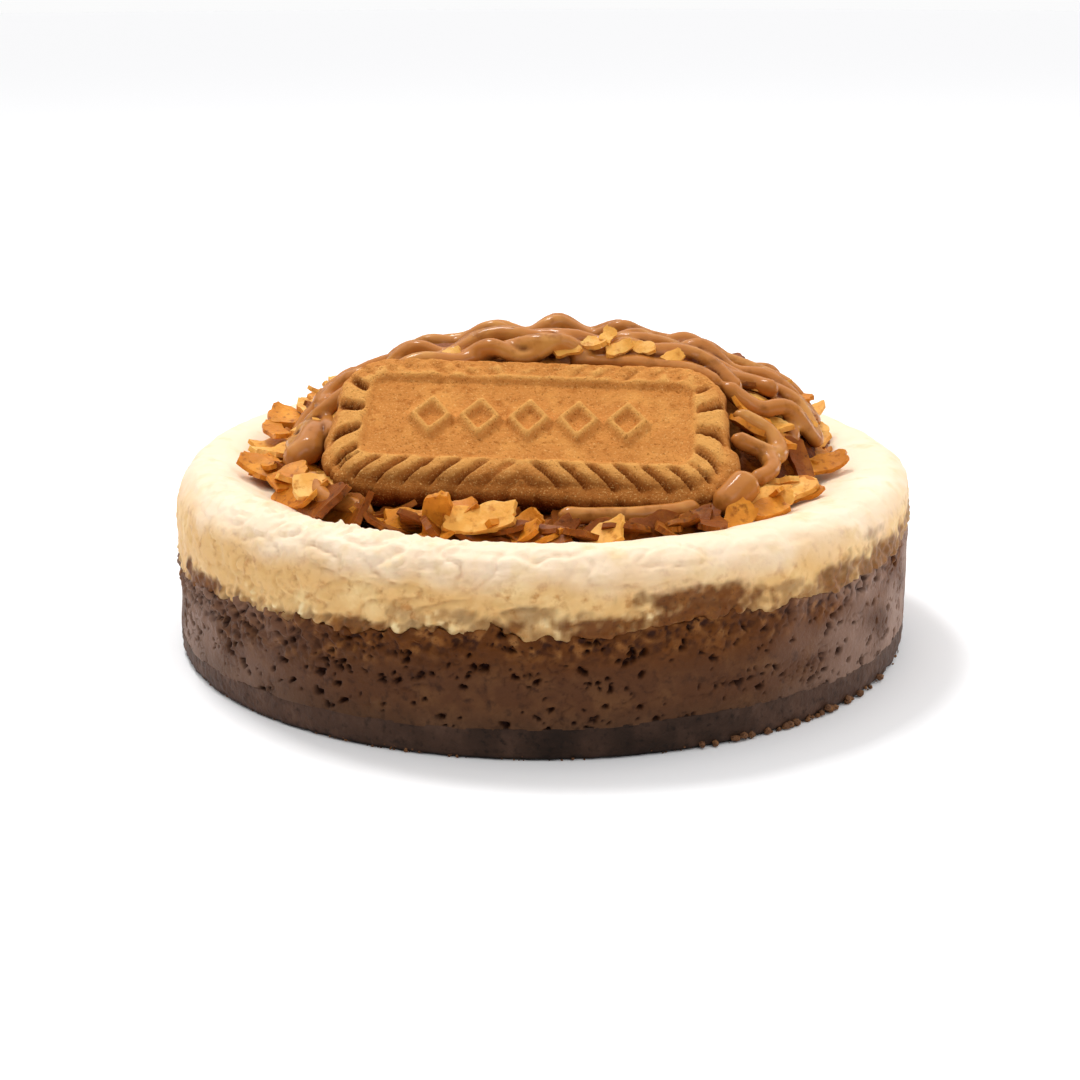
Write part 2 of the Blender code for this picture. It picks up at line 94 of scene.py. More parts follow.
def bell(distance, width):
    """1 at no distance, falling to nothing beyond about two widths."""
    return math.exp(-((distance / width) ** 2))


# %% [markdown]
# ## Curves through a few points
# Profiles and ropes are given by a few points each. A Catmull-Rom curve passes through all of
# them and bends smoothly in between, and it is sampled at the spacing that the mesh needs.

# %% Sample a smooth curve
def smooth_path(points, step):
    """Points about step apart on the Catmull-Rom curve through the given ones."""
    points = [Vector(point) for point in points]
    ends = [points[0], *points, points[-1]]
    path = []
    for before, start, end, after in zip(ends, ends[1:], ends[2:], ends[3:]):
        cuts = max(round((end - start).length / step), 1)
        for cut in range(cuts):
            t = cut / cuts
            path.append(
                0.5 * (
                    2 * start
                    + (end - before) * t
                    + (2 * before - 5 * start + 4 * end - after) * t * t
                    + (3 * start - before - 3 * end + after) * t**3
                )
            )
    path.append(points[-1])
    return path


# %% [markdown]
# ## The uneven cake
# Nothing baked is exactly round or level. The crust's top, the seam between the two layers and
# the rim each rise and fall round the cake, by the same rules as in the solids, so that the
# fine surfaces lie where the solids do. The real seam is also ragged, because the cream
# curdled where it ran into the brown layer, so a finer wave is added to it here.

# %% Heights round the cake
CAKE_RADIUS = 56.5
CRUST_HEIGHT = 3.8
SEAM_HEIGHT = 17.3
RIM_HEIGHT = 28.5
RIM_CREST_RADIUS = 51.3
DISH_HEIGHT = 24.4
WARP_START_RADIUS = 38.0


def round_wave(angle, turns, seed):
    """Uneven height from -1 to 1 round the cake, with about this many waves in a turn."""
    reach = turns / math.tau
    return noise.noise(Vector((reach * math.cos(angle), reach * math.sin(angle), seed))) * 1.6


def crust_wave(angle):
    return 1.1 * math.cos(angle + math.radians(55)) + 0.35 * round_wave(angle, 12, 3.1)


def seam_wave(angle):
    """The cream reaches lower at the left than at the right, in uneven tongues."""
    return (
        2.7 * math.cos(angle)
        + 1.3 * round_wave(angle, 14, 8.3)
        + 0.8 * round_wave(angle, 34, 1.7)
    )


def ragged_wave(angle):
    """Fine tongues, strong in some stretches of the seam and faint in others."""
    strength = 0.35 + 1.1 * smooth_step(-0.3, 0.5, round_wave(angle, 26, 9.4))
    return strength * (0.60 * round_wave(angle, 80, 4.2) + 0.32 * round_wave(angle, 210, 6.6))


def rim_wave(angle):
    return 0.5 * round_wave(angle, 9, 5.5) - 0.35 * bell(angle + math.pi / 2, 0.3)


@functools.lru_cache(maxsize=None)
def wave_levels(angle):
    """The (height, lift) pairs at one angle, kept because every ring asks for the same ones."""
    return (
        (0.0, 0.0),
        (CRUST_HEIGHT, crust_wave(angle)),
        (SEAM_HEIGHT, seam_wave(angle) + ragged_wave(angle)),
        (RIM_HEIGHT, rim_wave(angle)),
    )


def angle_of(point):
    return round(math.atan2(point[1], point[0]), 5)


def seam_height(angle):
    return SEAM_HEIGHT + wave_levels(angle)[2][1]


def warped(point):
    """Moves a point of the evenly turned cake to its place in the uneven real one."""
    x, y, z = point
    radius = math.hypot(x, y)
    share = smooth_step(WARP_START_RADIUS, CAKE_RADIUS - 4.0, radius)
    if share == 0.0:
        return Vector(point)
    angle = angle_of(point)
    levels = wave_levels(angle)
    lift = levels[-1][1]
    for (low, low_lift), (high, high_lift) in zip(levels, levels[1:]):
        if z <= high:
            lift = low_lift + (high_lift - low_lift) * max(z - low, 0.0) / (high - low)
            break
    swell = 0.45 * round_wave(angle, 7, 2.4 + z * 0.05) * share
    scale = (radius + swell) / radius
    return Vector((x * scale, y * scale, z + lift * share))


# %% [markdown]
# ## Turning a layer
# Each layer is a profile turned round the upright axis, as in the solids, only with many more
# steps. The points on the wall are 0.3 mm apart or less, which is fine enough for the pits and
# curds to be real hollows and lumps. The relief is then pushed out along each point's normal.

# %% Spin a profile and push its relief out
SECTORS = 25
JOINING_DISTANCE = 0.001
# The level faces of every layer have a ring of points at this radius.
FACE_RING_RADIUS = 44.0


def turned(profile, turn_steps):
    """A closed bmesh turned from a (radius, height) profile that starts and ends on the axis.

    One sector is spun first and then copied round, which is much quicker for so many steps.
    """
    shape = bmesh.new()
    points = [shape.verts.new((radius, 0.0, height)) for radius, height in profile]
    edges = [shape.edges.new(pair) for pair in zip(points, points[1:])]
    turn = math.tau / SECTORS
    bmesh.ops.spin(
        shape, geom=points + edges, cent=(0, 0, 0), axis=(0, 0, 1), angle=turn,
        steps=turn_steps // SECTORS,
    )
    bmesh.ops.spin(
        shape, geom=shape.verts[:] + shape.edges[:] + shape.faces[:], cent=(0, 0, 0),
        axis=(0, 0, 1), angle=math.tau - turn, steps=SECTORS - 1, use_duplicate=True,
    )
    bmesh.ops.remove_doubles(shape, verts=shape.verts, dist=JOINING_DISTANCE)
    for vert in shape.verts:
        vert.co = warped(vert.co)
    bmesh.ops.recalc_face_normals(shape, faces=shape.faces)
    shape.normal_update()
    return shape


def push_relief(shape, surface_at, start_radius):
    """Moves each point beyond the radius along its normal, and stores the tones that colour it.

    surface_at gives the height of the relief and the three tones at a point.
    """
    layer = shape.verts.layers.float_color.new("tones")
    moves = []
    for vert in shape.verts:
        if math.hypot(vert.co.x, vert.co.y) < start_radius:
            continue
        height, tones = surface_at(vert.co)
        vert[layer] = (*tones, 1.0)
        moves.append((vert, vert.normal * height))
    for vert, move in moves:
        vert.co += move


# %% [markdown]
# ## Shared shader groups
# Several finishes need the same two effects. One is a grain: two sizes of noise that give a
# height for a bump, as on crumb, biscuit or flakes. The other is a mottling: three colours
# that drift into each other, because no baked thing is one flat colour. Both are node groups
# that read Object coordinates in metres, so a scale of 1000 means features of about 1 mm.

# %% Colours from their screen values
def colour(code):
    """The linear colour, with alpha, of a six-digit screen colour."""
    channels = [int(code[start:start + 2], 16) / 255 for start in (0, 2, 4)]
    linear = [c / 12.92 if c <= 0.04045 else ((c + 0.055) / 1.055) ** 2.4 for c in channels]
    return (*linear, 1.0)


# %% Build the two node groups
def new_group(name, inputs, outputs):
    """An empty shader group with named inputs (name, socket type, default) and outputs."""
    group = bpy.data.node_groups.new(name, "ShaderNodeTree")
    for label, kind, default in inputs:
        socket = group.interface.new_socket(name=label, in_out="INPUT", socket_type=kind)
        socket.default_value = default
    for label, kind in outputs:
        group.interface.new_socket(name=label, in_out="OUTPUT", socket_type=kind)
    entry = group.nodes.new("NodeGroupInput")
    result = group.nodes.new("NodeGroupOutput")
    return group, entry, result


def feed(tree, socket, value):
    """Links an output to a socket, or sets the socket to a fixed value."""
    if isinstance(value, bpy.types.NodeSocket):
        tree.links.new(value, socket)
    else:
        socket.default_value = value


def own_place(tree):
    """Where a point is on its own piece, in metres."""
    return tree.nodes.new("ShaderNodeTexCoord").outputs["Object"]


def add_noise(tree, vector, scale, detail, roughness=0.55):
    node = tree.nodes.new("ShaderNodeTexNoise")
    node.inputs["Detail"].default_value = detail
    node.inputs["Roughness"].default_value = roughness
    tree.links.new(vector, node.inputs["Vector"])
    feed(tree, node.inputs["Scale"], scale)
    return node.outputs["Fac"]


def add_math(tree, operation, first, second):
    node = tree.nodes.new("ShaderNodeMath")
    node.operation = operation
    feed(tree, node.inputs[0], first)
    feed(tree, node.inputs[1], second)
    return node.outputs["Value"]


def add_mix(tree, factor, first, second):
    """Blends two colours, each a socket or a fixed colour."""
    node = tree.nodes.new("ShaderNodeMix")
    node.data_type = "RGBA"
    for number, value in ((0, factor), (6, first), (7, second)):
        feed(tree, node.inputs[number], value)
    return node.outputs[2]


def add_range(tree, value, low, high):
    """Stretches the part of a value between low and high to 0 to 1, with soft ends."""
    node = tree.nodes.new("ShaderNodeMapRange")
    node.interpolation_type = "SMOOTHSTEP"
    node.inputs["From Min"].default_value = low
    node.inputs["From Max"].default_value = high
    tree.links.new(value, node.inputs["Value"])
    return node.outputs["Result"]


grain_group, entry, result = new_group(
    "food_grain",
    [("Scale", "NodeSocketFloat", 900.0), ("Coarse Share", "NodeSocketFloat", 0.5)],
    [("Height", "NodeSocketFloat")],
)
place = own_place(grain_group)
fine = add_noise(grain_group, place, entry.outputs["Scale"], 3.0, 0.65)
coarse_scale = add_math(grain_group, "MULTIPLY", entry.outputs["Scale"], 0.31)
coarse = add_noise(grain_group, place, coarse_scale, 2.0)
coarse_part = add_math(grain_group, "MULTIPLY", coarse, entry.outputs["Coarse Share"])
grain_height = add_math(grain_group, "ADD", fine, coarse_part)
grain_group.links.new(grain_height, result.inputs["Height"])

mottle_group, entry, result = new_group(
    "baked_mottling",
    [
        ("Scale", "NodeSocketFloat", 150.0),
        ("Main", "NodeSocketColor", (0.5, 0.5, 0.5, 1.0)),
        ("Light", "NodeSocketColor", (0.8, 0.8, 0.8, 1.0)),
        ("Dark", "NodeSocketColor", (0.2, 0.2, 0.2, 1.0)),
    ],
    [("Color", "NodeSocketColor")],
)
place = own_place(mottle_group)
broad = add_noise(mottle_group, place, entry.outputs["Scale"], 4.0)
small_scale = add_math(mottle_group, "MULTIPLY", entry.outputs["Scale"], 3.7)
small = add_noise(mottle_group, place, small_scale, 3.0)
lightened = add_mix(
    mottle_group, add_range(mottle_group, broad, 0.46, 0.72),
    entry.outputs["Main"], entry.outputs["Light"],
)
darkened = add_mix(
    mottle_group, add_range(mottle_group, small, 0.50, 0.78), lightened, entry.outputs["Dark"]
)
mottle_group.links.new(darkened, result.inputs["Color"])
print("shader groups:", [group.name for group in bpy.data.node_groups])


# %% A material with its group nodes
def new_material(name, roughness, specular, subsurface=0.0, light_reach=0.0):
    """A Principled material whose even values are set on the shader itself.

    light_reach is how far light goes under the surface, in metres, red further than blue.
    """
    material = bpy.data.materials.new(name)
    material.use_nodes = True
    tree = material.node_tree
    shader = tree.nodes["Principled BSDF"]
    shader.inputs["Roughness"].default_value = roughness
    shader.inputs["Specular IOR Level"].default_value = specular
    shader.inputs["Subsurface Weight"].default_value = subsurface
    shader.inputs["Subsurface Scale"].default_value = light_reach
    shader.inputs["Subsurface Radius"].default_value = (1.0, 0.55, 0.3)
    return material, tree, shader


def add_mottling(tree, scale, main, light, dark):
    node = tree.nodes.new("ShaderNodeGroup")
    node.node_tree = mottle_group
    node.inputs["Scale"].default_value = scale
    for label, code in (("Main", main), ("Light", light), ("Dark", dark)):
        node.inputs[label].default_value = colour(code)
    return node.outputs["Color"]


def add_finish(tree, shader, base, scale, coarse_share, height_mm, strength=1.0):
    """Links the colour to the shader, and the grain to its normal as a bump of this height."""
    tree.links.new(base, shader.inputs["Base Color"])
    node = tree.nodes.new("ShaderNodeGroup")
    node.node_tree = grain_group
    node.inputs["Scale"].default_value = scale
    node.inputs["Coarse Share"].default_value = coarse_share
    bump = tree.nodes.new("ShaderNodeBump")
    bump.inputs["Strength"].default_value = strength
    bump.inputs["Distance"].default_value = height_mm * MM
    tree.links.new(node.outputs["Height"], bump.inputs["Height"])
    tree.links.new(bump.outputs["Normal"], shader.inputs["Normal"])


def add_layers(tree, base, *layers):
    """Lays (tone, colour) pairs over a base colour, each as strong as its tone is."""
    for tone, above in layers:
        base = add_mix(tree, tone, base, colour(above) if isinstance(above, str) else above)
    return base


def add_tones(tree):
    """The three tones that the mesh stores at each point, as separate values."""
    node = tree.nodes.new("ShaderNodeAttribute")
    node.attribute_name = "tones"
    split = tree.nodes.new("ShaderNodeSeparateColor")
    tree.links.new(node.outputs["Color"], split.inputs["Color"])
    return split.outputs["Red"], split.outputs["Green"], split.outputs["Blue"]


def add_height(tree):
    """The height above the base in metres."""
    split = tree.nodes.new("ShaderNodeSeparateXYZ")
    tree.links.new(own_place(tree), split.inputs["Vector"])
    return split.outputs["Z"]


# %% [markdown]
# ## The cream layer's finish
# The baked cream is palest on the rim, where it is nearly white, and turns a warm tan down its
# side. Brown caramel has soaked up into it above the seam in a few places. The mesh stores
# how far down the side a point is, where brown has soaked in, and where curds stand out, and
# the shader blends its colours by those three tones. A little light goes into the cream.

# %% Cream material
cream_material, tree, shader = new_material(
    "baked_cream", 0.45, 0.12, subsurface=0.12, light_reach=0.0025
)
side_tone, soaked_tone, curd_tone = add_tones(tree)
rim_colour = add_mottling(tree, 70.0, "f8dfc1", "fbe8cf", "eed2a6")
side_colour = add_mottling(tree, 160.0, "e5b878", "f1cf94", "c68e52")
soaked_colour = add_mottling(tree, 420.0, "68350c", "864e18", "422008")
base = add_layers(
    tree, rim_colour, (side_tone, side_colour), (curd_tone, "f8e4b2"), (soaked_tone, soaked_colour)
)
add_finish(tree, shader, base, 1500.0, 1.2, 0.10, 0.7)

# %% [markdown]
# ## The cream layer
# The profile follows the solid: up the wall, round the shoulder, over the crest of the rim
# and down into the sunken middle. The relief has broad swells, creases on the rim, torn film
# on its inner side at the front left, faint level wrinkles where the side came away from the
# pan, and curds along the seam. Voronoi cells make the curds, because each cell is one
# rounded lump.

# %% Relief and tones of the cream
NO_TONES = (0.0, 0.0, 0.0)
INNER_RIM_RADIUS = 48.0
CURD_REACH = 6.0
DISH_PROFILE = (
    (CAKE_RADIUS, 22.6),
    (CAKE_RADIUS - 0.4, 25.2),
    (CAKE_RADIUS - 1.7, 27.2),
    (53.2, 28.3),
    (RIM_CREST_RADIUS, RIM_HEIGHT),
    (48.6, 28.0),
    (45.4, 26.7),
    (42.2, 25.6),
    (37.0, 24.8),
)
# Each is (angle, height, half width, half height, strength) of a patch where brown soaked in,
# with the half width in degrees. The first group rises from the seam, and the second are
# faint spots inside the cream.
RISEN_PATCHES = (
    (-68.0, 21.6, 8.5, 1.5, 0.95),
    (-82.5, 19.0, 7.5, 1.4, 0.95),
    (-44.0, 20.6, 4.5, 1.6, 0.85),
    (-28.0, 20.4, 12.0, 2.2, 0.85),
    (-8.0, 20.6, 12.0, 2.4, 0.75),
    (-96.0, 18.3, 3.4, 1.2, 0.90),
    (-106.0, 17.8, 2.2, 0.8, 0.90),
    (-116.0, 17.6, 4.0, 0.9, 0.90),
    (-151.0, 16.2, 7.0, 1.4, 0.95),
    (-128.0, 16.0, 4.0, 0.8, 0.80),
)
SPOTS = (
    (-92.0, 20.4, 3.4, 1.3, 0.55),
    (-101.5, 20.0, 3.0, 1.0, 0.52),
    (-109.5, 19.8, 2.6, 1.1, 0.42),
    (-54.0, 21.0, 2.4, 0.9, 0.55),
    (-50.0, 19.4, 2.6, 1.0, 0.60),
    (-33.0, 24.0, 3.0, 0.8, 0.45),
)


def lumps(point, size):
    """Rounded lumps of about this size, 1 at the middle of each and 0 between them."""
    nearest = noise.voronoi(point / size)[0][0]
    return max(1.0 - nearest / 0.62, 0.0)


def soaked_share(point, angle):
    """How much brown has soaked into the cream at a point of the side."""
    soaked = 0.0
    for lowest_up, patches in ((0.0, RISEN_PATCHES), (-math.inf, SPOTS)):
        for at, height, half_width, half_height, strength in patches:
            across = (math.degrees(angle) - at) / half_width
            up = max((point.z - height) / half_height, lowest_up)
            reach = math.hypot(across, up)
            if reach < 2.2:
                drift = 0.7 * noise.noise(point / 2.2) + 0.4 * noise.noise(point / 0.9)
                soaked = max(soaked, strength * smooth_step(1.5, 0.5, reach + drift))
    return soaked


def cream_surface(point):
    """Relief height, and how tan, how brown-soaked and how curdled a point of the cream is."""
    angle, radius = angle_of(point), math.hypot(point.x, point.y)
    height = 0.24 * noise.noise(point / 8.0) + 0.09 * noise.noise(point / 2.6)
    if radius < INNER_RIM_RADIUS:
        return height, NO_TONES

    # Torn film on the inner side of the rim, and creases over its crest.
    torn_side = bell(angle + 2.2, 0.55) * bell(radius - 50.6, 2.6)
    height += torn_side * (1.05 * noise.noise(point / 1.9) + 0.55 * noise.noise(point / 0.8))
    creased = (0.25 + bell(angle + 1.9, 0.7)) * smooth_step(49.0, 52.0, radius)
    fold = noise.noise(Vector((point.x, point.y, point.z * 2.2)) / 6.0)
    fine_fold = noise.noise(Vector((point.x, point.y, point.z * 3.0)) / 3.1)
    height -= creased * (0.42 * bell(fold, 0.09) + 0.22 * bell(fine_fold, 0.10))
    on_side = smooth_step(52.5, 55.5, radius)
    if on_side == 0.0:
        return height, NO_TONES

    # Level wrinkles down the side, and curds of two sizes near the seam.
    level = Vector((point.x / 5.0, point.y / 5.0, point.z / 0.75))
    height += 0.20 * noise.noise(level) * on_side
    above = point.z - seam_height(angle)
    curd = 0.0
    if above < CURD_REACH:
        curd_shape = lumps(point, 1.5)
        patch = smooth_step(-0.15, 0.25, noise.noise(point / 6.0))
        height += 0.60 * curd_shape * bell(above - 0.6, 1.4) * on_side
        height += 0.30 * lumps(point, 2.9) * bell(above - 2.6, 2.2) * on_side
        curd = smooth_step(0.30, 0.70, curd_shape) * bell(above - 1.0, 1.6) * patch

    # The three tones. Where brown has risen the curds are drowned and the surface is rougher.
    tan = smooth_step(28.0, 22.0, point.z + 1.8 * noise.noise(point / 5.0)) * on_side
    edge = smooth_step(1.8, 0.0, above + 1.9 * noise.noise(point / 1.2))
    risen = soaked_share(point, angle)
    height += 0.35 * risen * noise.noise(point / 1.3)
    curd *= 1.0 - 0.85 * risen
    soaked = max(risen, edge * 0.6) * (1.0 - curd)
    return height, (tan, soaked, curd * 0.8 * on_side)


# %% Make the cream layer
CREAM_STEPS = 1150
CREAM_SPACING = 0.38
RELIEF_START_RADIUS = 36.0

wall_points = [(CAKE_RADIUS, SEAM_HEIGHT), (CAKE_RADIUS, 20.0), *DISH_PROFILE]
side_path = smooth_path([(*point, 0.0) for point in wall_points], CREAM_SPACING)
cream_profile = [
    (0.0, SEAM_HEIGHT), (FACE_RING_RADIUS, SEAM_HEIGHT),
    (54.0, SEAM_HEIGHT), (55.7, SEAM_HEIGHT - 0.45),
    *[(point.x, point.y) for point in side_path],
    (28.0, DISH_HEIGHT), (0.0, DISH_HEIGHT),
]
cream_shape = turned(cream_profile, CREAM_STEPS)
push_relief(cream_shape, cream_surface, RELIEF_START_RADIUS)
cream = make_piece("cream_layer_surface", cream_shape, cream_material)
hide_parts("cream_layer")

# %% [markdown]
# ## The caramel layer's finish
# The brown layer is warm near the seam and turns greyer and darker towards the crust. Its
# pits, crag hollows and cracks are painted a dark red-brown, which is painted shade. The first
# tone marks that painted shade, the second the crumbly upper edge and the third a greyish film
# on the left and right sides, with painted sheen, strongest at the right. The colour's change
# with height is read from the point's own place.

# %% Caramel layer material
caramel_material, tree, shader = new_material("baked_caramel_layer", 0.5, 0.1)
pit_shade_tone, crumbly_tone, film_and_sheen_tone = add_tones(tree)
warm_colour = add_mottling(tree, 230.0, "5a300d", "744216", "3e1e08")
grey_colour = add_mottling(tree, 200.0, "56341e", "684428", "3c2214")
base_colour = add_mottling(tree, 260.0, "513623", "60422c", "322014")
crumbly_colour = add_mottling(tree, 500.0, "8e5a2c", "a87440", "5a3216")
height = add_height(tree)
base = add_layers(
    tree, warm_colour,
    (add_range(tree, height, 0.0165, 0.0100), grey_colour),
    (add_range(tree, height, 0.0085, 0.0034), base_colour),
    (crumbly_tone, crumbly_colour),
    # painted sheen, mixed with a greyish film, on the left and right sides
    (film_and_sheen_tone, "947666"),
    # painted shade in pits, crag hollows and cracks
    (pit_shade_tone, "2a1008"),
)
add_finish(tree, shader, base, 1300.0, 1.4, 0.16)

# %% [markdown]
# ## The caramel layer
# Air bubbles left hundreds of small pits in its side. Each is an ellipse with an uneven edge,
# mostly wider than it is high, and some come in clusters. They are laid out once, at random
# with a fixed seed, and a k-d tree finds the few pits near each point of the wall. Just below
# the seam the side broke into crags when it came off the pan, most of all at the left.

# %% Lay out the pits
CLUSTER_SHARE = 0.42


def pit_layout(count, seed):
    """Pits as (place on the wall, angle, height, half length, half width, tilt)."""
    lowest = CRUST_HEIGHT + 0.6
    rng = random.Random(seed)
    pits = []
    angle, height = 0.0, 10.0
    for _ in range(count):
        if rng.random() < CLUSTER_SHARE and pits:
            angle += rng.gauss(0.0, 0.026)
            height += rng.gauss(0.0, 0.9)
        else:
            angle = rng.uniform(-math.pi, math.pi)
            height = rng.uniform(lowest, SEAM_HEIGHT - 0.6)
        half_length = 0.16 + 0.52 * rng.random() ** 2.4
        half_width = half_length * rng.uniform(0.35, 0.8)
        level = seam_wave(angle) * (height - CRUST_HEIGHT) / (SEAM_HEIGHT - CRUST_HEIGHT)
        z = min(max(height, lowest), SEAM_HEIGHT) + level
        place = Vector((CAKE_RADIUS * math.cos(angle), CAKE_RADIUS * math.sin(angle), z))
        pits.append((place, angle, z, half_length, half_width, rng.gauss(0.0, 0.5)))
    return pits


PIT_REACH = 1.1
pits = pit_layout(1150, 21)
pit_tree = kdtree.KDTree(len(pits))
for number, pit in enumerate(pits):
    pit_tree.insert(pit[0], number)
pit_tree.balance()
print(len(pits), "pits")


def pit_share(point, angle):
    """How deep in a pit a point of the wall is, from 0 to 1, and how deep that pit goes."""
    share, depth = 0.0, 0.0
    for _, number, _ in pit_tree.find_range(point, PIT_REACH):
        _, at, z, half_length, half_width, tilt = pits[number]
        along = math.remainder(angle - at, math.tau) * CAKE_RADIUS
        up = point.z - z
        turned_along = along * math.cos(tilt) + up * math.sin(tilt)
        turned_up = up * math.cos(tilt) - along * math.sin(tilt)
        reach = math.hypot(turned_along / half_length, turned_up / half_width)
        inside = smooth_step(1.45, 0.6, reach + 0.9 * noise.noise(point / 0.5))
        if inside > share:
            share, depth = inside, 0.45 + half_length
    return share, depth


# %% Relief and tones of the caramel layer
def caramel_surface(point):
    """Relief height, and how much painted shade, how crumbly and how much film and painted sheen a
    point of the wall has.
    """
    angle = angle_of(point)
    below = seam_height(angle) - point.z
    left = bell(math.remainder(angle + 2.45, math.tau), 0.55)
    right = bell(math.remainder(angle + 1.1, math.tau), 0.5)
    broken = smooth_step(3.6 + 5.0 * left + 2.0 * right, 0.8, below)

    # Pits, crags and loose crumbs below the seam, and thin cracks in some places.
    slanted = Vector((point.x + point.z, point.y, point.z * 0.8 - point.x * 0.5))
    coarse_chips, fine_chips = noise.noise(slanted / 2.1), noise.noise(point / 0.8)
    crack = bell(noise.noise(Vector((point.x, point.y, point.z * 1.8)) / 2.4), 0.045)
    cracked = smooth_step(0.0, 0.3, noise.noise(point / 5.0 + Vector((9.0, 0.0, 0.0))))
    share, depth = pit_share(point, angle)
    height = 0.16 * noise.noise(point / 7.0) + 0.10 * noise.noise(point / 2.2)
    height += broken * (1.0 + 0.9 * left) * (0.60 * coarse_chips + 0.32 * fine_chips)
    height -= 0.22 * crack * cracked + share * depth
    crumb = smooth_step(0.05, 0.45, noise.noise(point / 1.5)) * broken
    # The crag hollows, like the pits and the cracks, get painted shade through the first tone.
    hollow = smooth_step(-0.12, -0.50, fine_chips + 0.5 * coarse_chips) * broken

    # Streaks of greyish film and painted sheen at the left and right, stronger at the right.
    sides = smooth_step(0.45, 0.95, abs(math.cos(angle)))
    streak = Vector((point.x / 8.0, point.y / 8.0, point.z / 4.5))
    strength = 0.75 + 0.25 * smooth_step(0.0, 0.9, math.cos(angle))
    film_and_sheen = strength * sides * smooth_step(-0.7, 0.4, noise.noise(streak))
    return height, (max(share, hollow * 0.85, 0.35 * crack * cracked), crumb * 0.75, film_and_sheen)


# %% Make the caramel layer
CARAMEL_STEPS = 1375
CARAMEL_ROWS = 56

caramel_wall = [
    (CAKE_RADIUS, CRUST_HEIGHT - 0.1 + row * (SEAM_HEIGHT - CRUST_HEIGHT) / CARAMEL_ROWS)
    for row in range(CARAMEL_ROWS + 1)
]
caramel_profile = [
    (0.0, CRUST_HEIGHT), (FACE_RING_RADIUS, CRUST_HEIGHT), (54.0, CRUST_HEIGHT - 0.2),
    (CAKE_RADIUS - 0.1, CRUST_HEIGHT - 0.2), (CAKE_RADIUS, CRUST_HEIGHT - 0.18), *caramel_wall,
    (CAKE_RADIUS - 0.5, SEAM_HEIGHT + 0.15), (FACE_RING_RADIUS, SEAM_HEIGHT), (0.0, SEAM_HEIGHT),
]
caramel_shape = turned(caramel_profile, CARAMEL_STEPS)
push_relief(caramel_shape, caramel_surface, 55.0)
caramel = make_piece("caramel_layer_surface", caramel_shape, caramel_material)
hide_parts("caramel_layer")

# %% [markdown]
# ## The crust
# The crust is a thin, dark band of pressed and baked crumbs at the foot of the cake, painted
# nearly black at the front as painted shade. Its side is closed and fairly smooth, with a
# coarse grain, and its lower edge is frayed.

# %% Crust material and mesh
crust_material, tree, shader = new_material("baked_crust", 0.55, 0.12)
front_shade_tone, _, _ = add_tones(tree)
crust_colour = add_mottling(tree, 260.0, "553c2f", "664a3b", "35241b")
shaded_front_colour = add_mottling(tree, 260.0, "241811", "302018", "160e0a")
# Painted contact shadow: the lowest 0.9 mm darkens where the cake meets the floor.
shaded_foot = add_range(tree, add_height(tree), 0.0009, 0.0)
base = add_layers(tree, crust_colour, (front_shade_tone, shaded_front_colour), (shaded_foot, "15100f"))
add_finish(tree, shader, base, 1100.0, 1.2, 0.22)


def crust_surface(point):
    """The crust's coarse grain, frayed near the base, and how much painted shade it gets at the
    front.
    """
    low = smooth_step(1.6, 0.2, point.z)
    height = 0.14 * noise.noise(point / 3.0) + 0.14 * noise.noise(point / 0.9)
    height -= 0.35 * low * max(noise.noise(point / 1.4), 0.0)
    # Painted shade: the front of the crust is darker than its sides.
    front = bell(angle_of(point) + 1.45, 0.62) * (0.75 + 0.5 * noise.noise(point / 6.0))
    return height, (front, 0.0, 0.0)


CRUST_STEPS = 900
CRUST_ROWS = 11
CRUST_ROW_HEIGHT = 0.34

rises = [row * CRUST_ROW_HEIGHT for row in range(CRUST_ROWS)]
crust_wall = [(CAKE_RADIUS - 0.25 * smooth_step(1.4, 0.0, rise), 0.3 + rise) for rise in rises]
crust_profile = [
    (0.0, 0.0), (FACE_RING_RADIUS, 0.0), (CAKE_RADIUS - 0.8, 0.0), *crust_wall,
    (CAKE_RADIUS, CRUST_HEIGHT - 0.04), (CAKE_RADIUS - 0.1, CRUST_HEIGHT),
    (FACE_RING_RADIUS, CRUST_HEIGHT - 0.1), (0.0, CRUST_HEIGHT - 0.1),
]
crust_shape = turned(crust_profile, CRUST_STEPS)
push_relief(crust_shape, crust_surface, 56.0)
crust = make_piece("crust_surface", crust_shape, crust_material)
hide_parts("crust")

# %% [markdown]
# ## Crumbs along the foot
# Crumbs of crust cling along the lower edge: fine ones all round, more of them at the left,
# and larger ones at the front right. Each is an icosphere with its points pushed about, a
# fifth of a millimetre to one and a half across, and all are one mesh.

# %% Crumb material and mesh
crumb_material, tree, shader = new_material("loose_crumb", 0.7, 0.2)
crumb_colour = add_mottling(tree, 900.0, "6e4a30", "96683f", "3a241a")
add_finish(tree, shader, crumb_colour, 1800.0, 0.8, 0.12)


CRUMB_FLATNESS = 0.8


def add_lump(shape, place, size, rng):
    """An uneven lump, made from an icosphere of twenty faces."""
    made = bmesh.ops.create_icosphere(shape, subdivisions=1, radius=1.0)["verts"]
    stretch = Vector((size, size * rng.uniform(0.7, 1.0), size * CRUMB_FLATNESS))
    turn = Matrix.Rotation(rng.uniform(0.0, math.tau), 4, "Z")
    for vert in made:
        vert.co *= rng.uniform(0.78, 1.15)
        vert.co = Vector(place) + turn @ Vector(a * b for a, b in zip(vert.co, stretch))


CRUMB_COUNT = 280
LARGE_SHARE = 0.12
LEFT_SHARE = 0.30

